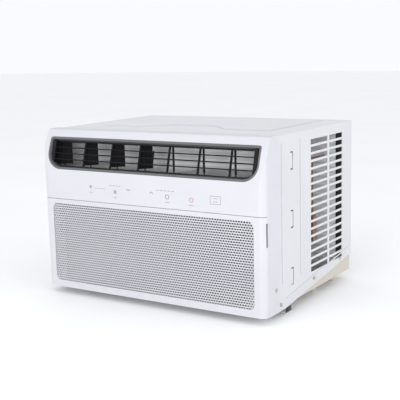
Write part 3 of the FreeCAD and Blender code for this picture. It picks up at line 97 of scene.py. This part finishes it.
def tint(tree, shader, factor, first, last):
    """The base colour runs from first to last as the factor rises."""
    ramp = add(tree, "ShaderNodeValToRGB")
    ramp.color_ramp.elements[0].position = 0.3
    ramp.color_ramp.elements[1].position = 0.7
    ramp.color_ramp.elements[0].color = (*first, 1)
    ramp.color_ramp.elements[1].color = (*last, 1)
    tree.links.new(factor, ramp.inputs["Fac"])
    tree.links.new(ramp.outputs["Color"], shader.inputs["Base Color"])
    return ramp


def vary_roughness(tree, shader, factor, low, high):
    spread = add(tree, "ShaderNodeMapRange")
    spread.inputs["To Min"].default_value = low
    spread.inputs["To Max"].default_value = high
    tree.links.new(factor, spread.inputs["Value"])
    tree.links.new(spread.outputs["Result"], shader.inputs["Roughness"])


def relief(tree, shader, height, depth, strength=1.0, below=None):
    """Bump of a depth in metres; below is an earlier bump that it lies on."""
    bump = add(tree, "ShaderNodeBump", strength=strength, distance=depth)
    tree.links.new(height, bump.inputs["Height"])
    if below is not None:
        tree.links.new(below.outputs["Normal"], bump.inputs["Normal"])
    tree.links.new(bump.outputs["Normal"], shader.inputs["Normal"])
    return bump


def shade(colour, factor):
    return tuple(min(channel * factor, 1) for channel in colour)


def moulded(name, colour, rough, texture=0.00004, grain=0.0009, drift=0.03, **shine):
    """Injection-moulded plastic: spark-eroded texture and a faint drift of tone."""
    material, tree, shader = blank(name, colour, rough, ior=1.49, **shine)
    tint(tree, shader, noise(tree, 0.09), shade(colour, 1 - drift), shade(colour, 1 + drift))
    vary_roughness(tree, shader, noise(tree, 0.03), rough - 0.05, rough + 0.06)
    flow = relief(tree, shader, noise(tree, 0.05, (1, 1, 2.5)), 0.00008, 0.25)
    relief(tree, shader, noise(tree, grain, detail=2.0), texture, 0.5, flow)
    return material


def enamelled(name, colour, rough=0.34):
    """Baked enamel on pressed steel: orange peel, gentle panel waves, faint handling marks."""
    material, tree, shader = blank(name, colour, rough, coat_weight=0.25, coat_roughness=0.18)
    tint(tree, shader, noise(tree, 0.12), shade(colour, 0.97), shade(colour, 1.02))
    vary_roughness(tree, shader, noise(tree, 0.04, (1, 4, 1)), rough - 0.06, rough + 0.08)
    wave = relief(tree, shader, noise(tree, 0.08), 0.0004, 0.12)
    relief(tree, shader, noise(tree, 0.0016), 0.00005, 0.5, wave)
    return material


def ribbed_foam(name, colour):
    """Moulded foam of the air path: fine beads and the faint level lines of its mould, with painted shade
    in the low band of each line.
    """
    material, tree, shader = blank(name, colour, 0.75)
    lines = add(tree, "ShaderNodeTexWave", scale=28.0)
    lines.bands_direction = "Z"
    tree.links.new(stretched(tree, (1, 1, 1)), lines.inputs["Vector"])
    # painted shade: the colour darkens to 0.82 in the grooves of the level lines, along the same wave that
    # gives their relief
    tint(tree, shader, lines.outputs["Fac"], shade(colour, 0.82), colour)
    beads = add(tree, "ShaderNodeTexVoronoi", scale=330.0)
    tree.links.new(stretched(tree, (1, 1, 1)), beads.inputs["Vector"])
    steps = relief(tree, shader, lines.outputs["Fac"], 0.0006, 0.5)
    relief(tree, shader, beads.outputs["Distance"], 0.0003, 0.4, steps)
    return material


def zinc_sheet(name, colour):
    """Hot-dip galvanised sheet: flat spangles of differing tone and gloss."""
    material, tree, shader = blank(name, colour, 0.4, 0.85)
    spangle = add(tree, "ShaderNodeTexVoronoi", scale=140.0)
    tree.links.new(stretched(tree, (1, 1, 1)), spangle.inputs["Vector"])
    grey = add(tree, "ShaderNodeRGBToBW")
    tree.links.new(spangle.outputs["Color"], grey.inputs["Color"])
    tint(tree, shader, grey.outputs["Val"], shade(colour, 0.72), shade(colour, 1.15))
    vary_roughness(tree, shader, grey.outputs["Val"], 0.3, 0.52)
    relief(tree, shader, noise(tree, 0.003), 0.00006, 0.4)
    return material


def worked_metal(name, colour, rough, lay=(1, 1, 1), tarnish=0.12):
    """Bare or plated metal with drawing lines that run along its lay."""
    material, tree, shader = blank(name, colour, rough, 1.0)
    stain = noise(tree, 0.02, detail=6.0)
    tint(tree, shader, stain, shade(colour, 1 - tarnish), shade(colour, 1 + tarnish / 2))
    vary_roughness(tree, shader, noise(tree, 0.004, lay), rough - 0.08, rough + 0.14)
    relief(tree, shader, noise(tree, 0.0012, lay), 0.00005, 0.45)
    return material


def soft_rubber(name, colour):
    material, tree, shader = blank(name, colour, 0.75, sheen_weight=0.2)
    tint(tree, shader, noise(tree, 0.01), shade(colour, 0.75), shade(colour, 1.5))
    relief(tree, shader, noise(tree, 0.0008), 0.0001, 0.5)
    return material


def woven_net(name, colour):
    """A fine square net: two crossed waves give the threads their height, and a painted highlight on their
    crests with painted shade in the gaps between them.
    """
    material, tree, shader = blank(name, colour, 0.8, sheen_weight=0.3)
    threads = []
    for lay in ((1, 0, 0), (0, 0, 1)):
        wave = add(tree, "ShaderNodeTexWave", scale=110.0)
        wave.bands_direction = "DIAGONAL"
        tree.links.new(stretched(tree, lay), wave.inputs["Vector"])
        threads.append(wave.outputs["Fac"])
    top = add(tree, "ShaderNodeMath", operation="MAXIMUM")
    for socket, thread in zip(top.inputs, threads):
        tree.links.new(thread, socket)
    # painted highlight and painted shade: the tone rises with the threads' height, near black in the gaps
    # and brighter on the crests
    tint(tree, shader, top.outputs["Value"], shade(colour, 0.2), shade(colour, 1.6))
    relief(tree, shader, top.outputs["Value"], 0.0004)
    return material


def circuit_board(name, colour):
    """Solder mask over copper tracks: stepped cells stand for tracks and pads."""
    material, tree, shader = blank(name, colour, 0.35, coat_weight=0.4)
    cells = add(tree, "ShaderNodeTexVoronoi", scale=160.0, distance="MANHATTAN")
    tree.links.new(stretched(tree, (1, 1, 1)), cells.inputs["Vector"])
    tint(tree, shader, cells.outputs["Distance"], shade(colour, 1.7), shade(colour, 0.8))
    relief(tree, shader, cells.outputs["Distance"], 0.0001, 0.6)
    return material


WHITE = (0.56, 0.56, 0.59)
FINISHES = {
    "white_plastic": lambda name: moulded(name, WHITE, 0.38, drift=0.012),
    "bezel_plastic": lambda name: moulded(name, (0.11, 0.11, 0.115), 0.36),
    "black_plastic": lambda name: moulded(name, (0.006, 0.006, 0.007), 0.5, specular_ior_level=0.2),
    "duct_plastic": lambda name: ribbed_foam(name, (0.92, 0.92, 0.93)),
    "seal_foam": lambda name: soft_rubber(name, (0.012, 0.012, 0.013)),
    "pipe_lagging": lambda name: soft_rubber(name, (0.30, 0.31, 0.32)),
    "white_paint": lambda name: enamelled(name, (0.585, 0.585, 0.61)),
    "pan_paint": lambda name: enamelled(name, (0.52, 0.49, 0.43), 0.5),
    "galvanised": lambda name: zinc_sheet(name, (0.60, 0.61, 0.62)),
    "screw_steel": lambda name: worked_metal(name, (0.66, 0.65, 0.62), 0.3),
    "fin_metal": lambda name: worked_metal(name, (0.84, 0.85, 0.86), 0.4, (1, 1, 6), 0.04),
    "copper": lambda name: worked_metal(name, (0.40, 0.24, 0.17), 0.36, tarnish=0.35),
    "compressor_paint": lambda name: enamelled(name, (0.022, 0.022, 0.024), 0.32),
    "motor_steel": lambda name: worked_metal(name, (0.46, 0.46, 0.47), 0.38, (1, 8, 1)),
    "shaft_steel": lambda name: worked_metal(name, (0.60, 0.60, 0.61), 0.22, (1, 12, 1)),
    "fan_plastic": lambda name: moulded(name, (0.035, 0.036, 0.038), 0.5),
    "rubber": lambda name: soft_rubber(name, (0.02, 0.02, 0.02)),
    "filter_plastic": lambda name: moulded(name, (0.05, 0.06, 0.07), 0.5),
    "filter_net": lambda name: woven_net(name, (0.03, 0.032, 0.035)),
    "board": lambda name: circuit_board(name, (0.02, 0.12, 0.05)),
    "capacitor_metal": lambda name: worked_metal(name, (0.74, 0.74, 0.75), 0.34),
    "printed_ink": lambda name: moulded(name, (0.09, 0.09, 0.10), 0.5),
    "pale_ink": lambda name: moulded(name, (0.24, 0.24, 0.26), 0.5),
    "warm_ink": lambda name: moulded(name, (0.45, 0.04, 0.03), 0.5),
}
MATERIALS = {slot: make(slot) for slot, make in FINISHES.items()}


def dress_frame():
    """Every carried-over node takes the finish of its slot."""
    for row in frame["record"]["subparts"]:
        piece = frame["nodes"][row["node"]]
        piece.data.materials.clear()
        piece.data.materials.append(MATERIALS[row["material_slot"]])


# ---------------------------------------------------------------- bench helpers

def start():
    """Nothing selected, so that an operator works on the new piece alone."""
    if bpy.context.object and bpy.context.object.mode != "OBJECT":
        bpy.ops.object.mode_set(mode="OBJECT")
    bpy.ops.object.select_all(action="DESELECT")


def pick(test, kind="verts"):
    """Select the vertices, or the faces, of the active mesh that pass a test, in edit mode."""
    mesh = bpy.context.object.data
    bpy.ops.mesh.select_all(action="DESELECT")
    bpy.ops.mesh.select_mode(type={"verts": "VERT", "faces": "FACE"}[kind])
    bpy.ops.object.mode_set(mode="OBJECT")
    if kind == "verts":
        for item in mesh.vertices:
            item.select = test(item.co)
    else:
        for item in mesh.polygons:
            item.select = test(item.center, item.normal)
    bpy.ops.object.mode_set(mode="EDIT")


def block(low, high):
    """A rectangular block between two corners, active and selected."""
    start()
    low, high = Vector(low), Vector(high)
    bpy.ops.mesh.primitive_cube_add(size=1, location=(low + high) / 2)
    made = bpy.context.object
    made.scale = high - low
    bpy.ops.object.transform_apply(location=True, rotation=True, scale=True)
    return made


def modify(kind, **values):
    """Add a modifier to the active object, set it and apply it."""
    thing = bpy.context.object
    modifier = thing.modifiers.new(kind.title(), kind)
    for key, value in values.items():
        setattr(modifier, key, value)
    bpy.ops.object.modifier_apply(modifier=modifier.name)


def repeat(step, count):
    modify("ARRAY", use_relative_offset=False, use_constant_offset=True, constant_offset_displace=step,
           count=count, use_merge_vertices=True, merge_threshold=0.00005)


def soften(width, segments=2):
    modify("BEVEL", width=width, segments=segments, limit_method="ANGLE", angle_limit=math.radians(40))


def join(pieces):
    start()
    for piece in pieces:
        piece.select_set(True)
    bpy.context.view_layer.objects.active = pieces[0]
    bpy.ops.object.join()
    return bpy.context.object


def done(name, slot, body, *replaced, finish=None):
    """Name, finish and mount the active piece, with its place in its mesh."""
    piece = bpy.context.object
    if piece.mode != "OBJECT":
        bpy.ops.object.mode_set(mode="OBJECT")
    bpy.ops.object.transform_apply(location=True, rotation=True, scale=True)
    piece.name = name
    piece.data.name = name
    piece.data.materials.clear()
    piece.data.materials.append(MATERIALS[finish or slot])
    bpy.ops.object.shade_smooth_by_angle(angle=math.radians(50))
    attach(piece, body)
    if replaced:
        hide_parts(*replaced)
    return piece


# ---------------------------------------------------------------- perforated field

HOLE_PITCH = 6.4 * MM
HOLE_RADIUS = 2.2 * MM
HOLE_SIDES = 8
ROW_RISE = HOLE_PITCH * math.sqrt(0.75)
RIM_LAND = 0.9 * MM
FIELD_ROUND = 15 * MM
CORNER_CUTS = 5


def perforated_cell(centre):
    """One cell of the field: a round hole in a rectangle, lying in the front plane."""
    start()
    bpy.ops.mesh.primitive_circle_add(vertices=HOLE_SIDES, radius=HOLE_RADIUS, location=centre,
                                      rotation=(math.pi / 2, 0, 0))
    bpy.ops.object.transform_apply(location=True, rotation=True, scale=True)
    bpy.context.scene.tool_settings.transform_pivot_point = "MEDIAN_POINT"
    bpy.ops.object.mode_set(mode="EDIT")
    bpy.ops.mesh.select_mode(type="VERT")
    bpy.ops.mesh.select_all(action="SELECT")
    bpy.ops.mesh.extrude_region_move()
    bpy.ops.transform.resize(value=(HOLE_PITCH / 2 / HOLE_RADIUS, 1, ROW_RISE / 2 / HOLE_RADIUS))
    reach = math.sqrt(0.5) * HOLE_PITCH / 2
    pick(lambda co: abs(abs(co.x - centre.x) - reach) < HOLE_PITCH / 50)
    bpy.ops.transform.resize(value=(math.sqrt(2), 1, math.sqrt(2)))
    bpy.ops.object.mode_set(mode="OBJECT")
    return bpy.context.object


def field_layout(low, high):
    """Steps along a row, pairs of rows, and the centre of the first hole of the field."""
    columns = int((high.x - low.x) / HOLE_PITCH)
    pairs = math.ceil((high.z - low.z) / ROW_RISE / 2)
    middle = (low + high) / 2
    first = Vector((middle.x - columns / 2 * HOLE_PITCH, low.y, middle.z - (2 * pairs - 1) / 2 * ROW_RISE))
    return columns, pairs, first


def make_screen():
    """The fine staggered perforation, trimmed to the rounded field and given its thickness."""
    low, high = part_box("grille_screen")
    columns, pairs, first = field_layout(low, high)
    rows = []
    for shift, line in ((0, 0), (HOLE_PITCH / 2, 1)):
        rows.append(perforated_cell(first + Vector((shift, 0, line * ROW_RISE))))
        repeat((HOLE_PITCH, 0, 0), columns + 1)
    join(rows)
    repeat((0, 0, 2 * ROW_RISE), pairs)
    bpy.ops.object.mode_set(mode="EDIT")
    bpy.ops.mesh.select_all(action="SELECT")
    bpy.ops.mesh.remove_doubles(threshold=0.00003)
    close_outer_holes(low, high)
    trim_to_field(low, high)
    bpy.ops.mesh.select_all(action="SELECT")
    bpy.ops.mesh.extrude_region_move(TRANSFORM_OT_translate={"value": (0, high.y - low.y, 0)})
    bpy.ops.mesh.select_all(action="SELECT")
    bpy.ops.mesh.normals_make_consistent(inside=False)
    return done("perforated_field", "white_plastic", "grille", "grille_screen")


def outside_field(point, low, high, margin):
    """How far a point lies outside the rounded field, less a margin."""
    middle = (low + high) / 2
    dx = max(abs(point.x - middle.x) - (high.x - low.x) / 2 + FIELD_ROUND, 0)
    dz = max(abs(point.z - middle.z) - (high.z - low.z) / 2 + FIELD_ROUND, 0)
    return math.hypot(dx, dz) - FIELD_ROUND + margin


def close_outer_holes(low, high):
    """Holes that would break the rim of the field are left out of the moulding."""
    mesh = bpy.context.object.data
    bpy.ops.mesh.select_mode(type="EDGE")
    bpy.ops.mesh.select_all(action="DESELECT")
    bpy.ops.mesh.select_non_manifold(extend=False, use_boundary=True, use_wire=False,
                                     use_multi_face=False, use_non_contiguous=False, use_verts=False)
    bpy.ops.object.mode_set(mode="OBJECT")
    for edge in mesh.edges:
        ends = [mesh.vertices[index].co for index in edge.vertices]
        short = (ends[0] - ends[1]).length < HOLE_RADIUS
        middle = (ends[0] + ends[1]) / 2
        edge.select = edge.select and short and nearest_hole_out(middle, low, high)
    bpy.ops.object.mode_set(mode="EDIT")
    bpy.ops.mesh.fill_holes(sides=HOLE_SIDES)


def nearest_hole_out(point, low, high):
    """Whether the hole that this rim point belongs to stands too near the field's edge."""
    first = field_layout(low, high)[2]
    row = round((point.z - first.z) / ROW_RISE)
    left = first.x + (HOLE_PITCH / 2 if row % 2 else 0)
    column = round((point.x - left) / HOLE_PITCH)
    centre = Vector((left + column * HOLE_PITCH, 0, first.z + row * ROW_RISE))
    return outside_field(centre, low, high, HOLE_RADIUS + RIM_LAND) > 0


def trim_to_field(low, high):
    """Cut the sheet of cells to the field's straight sides and round corners."""
    planes = [((side, 0, 0), Vector((high.x if side > 0 else low.x, 0, 0))) for side in (-1, 1)]
    planes += [((0, 0, side), Vector((0, 0, high.z if side > 0 else low.z))) for side in (-1, 1)]
    for side in (-1, 1):
        for lift in (-1, 1):
            corner = Vector(((high.x if side > 0 else low.x) - side * FIELD_ROUND, 0,
                             (high.z if lift > 0 else low.z) - lift * FIELD_ROUND))
            for step in range(CORNER_CUTS):
                angle = math.pi / 2 * (step + 0.5) / CORNER_CUTS
                way = Vector((side * math.cos(angle), 0, lift * math.sin(angle)))
                planes.append((tuple(way), corner + way * FIELD_ROUND))
    for normal, point in planes:
        bpy.ops.mesh.select_all(action="SELECT")
        bpy.ops.mesh.bisect(plane_co=point, plane_no=normal, clear_outer=True)


# ---------------------------------------------------------------- coils

FIN_PITCH = 2.2 * MM
FIN_WALL = 0.4 * MM
FIN_FOLDS = 6
FIN_FOLD_RISE = 0.45 * MM
PLATE_WALL = 1.0 * MM


def make_coil(name, node):
    """The look of a coil: folded fins between two end plates. Its tubes are not drawn."""
    low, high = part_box(node)
    start()
    first = (low.x + 2 * PLATE_WALL, (low.y + high.y) / 2, (low.z + high.z) / 2)
    bpy.ops.mesh.primitive_grid_add(x_subdivisions=FIN_FOLDS, y_subdivisions=1, size=1, location=first)
    fin = bpy.context.object
    fin.rotation_euler = (math.pi / 2, 0, math.pi / 2)
    fin.scale = (high.y - low.y, high.z - low.z - 2 * PLATE_WALL, 1)
    bpy.ops.object.transform_apply(location=True, rotation=True, scale=True)
    bpy.ops.object.mode_set(mode="EDIT")
    step = (high.y - low.y) / FIN_FOLDS
    pick(lambda co: round((co.y - low.y) / step) % 2 == 1)
    bpy.ops.transform.translate(value=(FIN_FOLD_RISE, 0, 0))
    bpy.ops.object.mode_set(mode="OBJECT")
    modify("SOLIDIFY", thickness=FIN_WALL, offset=0)
    count = int((high.x - low.x - 4 * PLATE_WALL) / FIN_PITCH)
    repeat((FIN_PITCH, 0, 0), count)
    done(name + "_fins", "fin_metal", "cabinet", node)
    plates = [end_plate(low, high, side) for side in (-1, 1)]
    join(plates)
    done(name + "_plates", "galvanised", "cabinet")


def end_plate(low, high, side):
    """One end plate, with its top and bottom faces scored and its rim softened."""
    x = high.x if side > 0 else low.x
    inner = x - side * PLATE_WALL
    plate = block((min(x, inner), low.y, low.z), (max(x, inner), high.y, high.z))
    bpy.ops.object.mode_set(mode="EDIT")
    pick(lambda centre, normal: abs(normal.z) > 0.5, "faces")
    bpy.ops.mesh.inset(thickness=PLATE_WALL / 4, depth=0)
    bpy.ops.object.mode_set(mode="OBJECT")
    soften(PLATE_WALL / 5, 1)
    return plate


# ---------------------------------------------------------------- printed marks

INK = 0.06 * MM
STROKE = 1.1 * MM
THIN = 0.8 * STROKE
PAD_SIGNS = {"speed": (-153, 249), "fan": (-83, 241), "down": (-46, 248), "up": (17, 246),
             "mode": (59, 240), "power": (121, 238), "notice": (181, 241.5)}
CAPTIONS = ((-153, 236, 9), (-83, 229, 10), (59, 228, 12), (121, 226, 12))
SCALES = ((-139, -115, 246, 4), (-96, -70, 255, 4), (34, 74, 253, 5))


def ink_bar(x, z, wide, high, angle=0.0):
    """One printed stroke on the control strip, centred at a place and turned in its plane."""
    bar = block((x - wide / 2, FRONT - INK, z - high / 2), (x + wide / 2, FRONT + INK, z + high / 2))
    bpy.ops.object.mode_set(mode="EDIT")
    bpy.ops.mesh.select_all(action="SELECT")
    bpy.ops.transform.rotate(value=-angle, orient_axis="Y", orient_type="GLOBAL", center_override=(x, 0, z))
    bpy.ops.object.mode_set(mode="OBJECT")
    soften(STROKE / 5, 2)
    return bar


def ink_ring(x, z, radius, wall=STROKE, sides=40, opening=0.0):
    """A printed ring, left open at its top over an angle."""
    start()
    bpy.ops.mesh.primitive_circle_add(vertices=sides, radius=radius, location=(x, FRONT - INK, z),
                                      rotation=(math.pi / 2, 0, 0))
    bpy.ops.object.transform_apply(location=True, rotation=True, scale=True)
    bpy.ops.object.mode_set(mode="EDIT")
    bpy.ops.mesh.select_mode(type="VERT")
    bpy.ops.mesh.select_all(action="SELECT")
    bpy.ops.mesh.extrude_region_move()
    share = (radius - wall) / radius
    bpy.ops.transform.resize(value=(share, 1, share))
    if opening:
        half = radius * math.sin(opening / 2)
        pick(lambda centre, normal: centre.z > z and abs(centre.x - x) < half, "faces")
        bpy.ops.mesh.delete(type="FACE")
    bpy.ops.mesh.select_all(action="SELECT")
    bpy.ops.mesh.extrude_region_move(TRANSFORM_OT_translate={"value": (0, 2 * INK, 0)})
    bpy.ops.mesh.select_all(action="SELECT")
    bpy.ops.mesh.normals_make_consistent(inside=False)
    bpy.ops.object.mode_set(mode="OBJECT")
    return bpy.context.object


def chevron(x, z, span, way):
    """Two strokes that point up where way is 1, and down where it is -1."""
    slope = math.radians(40)
    return [ink_bar(x + side * span / 4, z, span / 2 / math.cos(slope) + STROKE / 2, STROKE,
                    way * side * slope) for side in (-1, 1)]


def row_of_dashes(x_from, x_to, z, count):
    pitch = (x_to - x_from) / (count - 1)
    return [ink_bar(x_from + index * pitch, z, 0.6 * pitch, 0.9 * STROKE) for index in range(count)]


def star(x, z, reach, arms):
    return [ink_bar(x, z, 2 * reach, STROKE, math.pi * arm / arms) for arm in range(arms)]


def make_marks():
    """Generic signs over the touch pads: speed, fan, down, up, mode and power, with a framed notice plate.
    """
    at = {sign: (x * MM, PANEL_LOW + z * MM) for sign, (x, z) in PAD_SIGNS.items()}
    marks = star(*at["speed"], 4 * MM, 3)
    marks += [ink_ring(*at["fan"], 4 * MM)] + star(*at["fan"], 2.2 * MM, 2)
    marks += chevron(*at["down"], 10 * MM, -1) + chevron(*at["up"], 10 * MM, 1)
    marks += [ink_ring(*at["mode"], 5.2 * MM)]
    for x_from, x_to, z, count in SCALES:
        marks += row_of_dashes(x_from * MM, x_to * MM, PANEL_LOW + z * MM, count)
    for x, z, wide in CAPTIONS:
        marks.append(ink_bar(x * MM, PANEL_LOW + z * MM, wide * MM, THIN))
    join(marks)
    done("control_marks", "black_plastic", "cabinet", finish="printed_ink")
    join(framed_sign(*at["notice"], 12.5 * MM, 8.5 * MM))
    done("sign_plate", "black_plastic", "cabinet", finish="pale_ink")
    x, z = at["power"]
    join([ink_ring(x, z, 5.4 * MM, opening=math.radians(70)), ink_bar(x, z + 3 * MM, STROKE, 4.4 * MM)])
    done("power_mark", "black_plastic", "cabinet", finish="warm_ink")


def framed_sign(x, z, half_wide, half_high):
    """A plain framed plate with three bars in it."""
    frame_bars = [ink_bar(x, z + side * half_high, 2 * half_wide, STROKE) for side in (-1, 1)]
    frame_bars += [ink_bar(x + side * half_wide, z, STROKE, 2 * half_high) for side in (-1, 1)]
    frame_bars += [ink_bar(x, z + shift * half_high, (1.4 - abs(shift)) * half_wide, STROKE)
                   for shift in (-0.4, 0.4)]
    return frame_bars


# ---------------------------------------------------------------- room

EYE = Vector((1.1171, -1.7298, 0.5739))
YAW, PITCH, ROLL = math.radians(32.865), math.radians(10.059), math.radians(-1.501)
LENS = 77.9
SENSOR = 36
FLOOR_SIZE = 30
SKY = (0.95, 0.97, 1.0)
MIDDLE = (0, 0, 0.2)
OUTLET = (0, -0.2, 0.34)
LAMPS = {   # place, what it is turned to, width and height, and power in watts
    "key": ((-1.4, -2.6, 1.7), MIDDLE, (1.6, 1.6), 9),
    "mouth": ((0.5, -2.2, 0.55), OUTLET, (1.0, 0.5), 17),
    "side": ((3.0, -0.2, 1.0), MIDDLE, (1.6, 1.6), 25),
}


def place_camera():
    """The camera at its eye point, turned by yaw and pitch, then rolled about its own line of sight."""
    ahead = Vector((-math.sin(YAW) * math.cos(PITCH), math.cos(YAW) * math.cos(PITCH), -math.sin(PITCH)))
    right = Vector((math.cos(YAW), math.sin(YAW), 0))
    up = right.cross(ahead)
    across = math.cos(ROLL) * right + math.sin(ROLL) * up
    upright = -math.sin(ROLL) * right + math.cos(ROLL) * up
    data = bpy.data.cameras.new("camera")
    data.lens = LENS
    data.sensor_width = SENSOR
    camera = bpy.data.objects.new("camera", data)
    camera.matrix_world = Matrix((across, upright, -ahead)).transposed().to_4x4()
    camera.matrix_world.translation = EYE
    bpy.context.scene.collection.objects.link(camera)
    bpy.context.scene.camera = camera


def lay_floor():
    start()
    bpy.ops.mesh.primitive_plane_add(size=FLOOR_SIZE, location=(0, 0, 0))
    floor = bpy.context.object
    floor.name = "floor"
    material, tree, shader = blank("floor_paint", (0.93, 0.93, 0.93), 0.7)
    tint(tree, shader, noise(tree, 0.5), (0.92, 0.92, 0.92), (0.94, 0.94, 0.94))
    floor.data.materials.append(material)


def soft_light(name, place, target, size, power):
    data = bpy.data.lights.new(name, "AREA")
    data.shape = "RECTANGLE"
    data.size, data.size_y = size
    data.energy = power
    light = bpy.data.objects.new(name, data)
    way = Vector(target) - Vector(place)
    light.rotation_euler = way.to_track_quat("-Z", "Y").to_euler()
    light.location = place
    bpy.context.scene.collection.objects.link(light)


def light_room():
    world = bpy.data.worlds.new("studio")
    world.use_nodes = True
    world.node_tree.nodes["Background"].inputs["Color"].default_value = (*SKY, 1)
    world.node_tree.nodes["Background"].inputs["Strength"].default_value = 1.0
    bpy.context.scene.world = world
    bpy.context.scene.view_settings.view_transform = "Standard"    # keeps the whites of the casing apart
    for name, (place, target, size, power) in LAMPS.items():
        soft_light(name, place, target, size, power)


dress_frame()
make_screen()
make_coil("condenser", "condenser_coil")
make_coil("evaporator", "evaporator_coil")
make_marks()
place_camera()
lay_floor()
light_room()
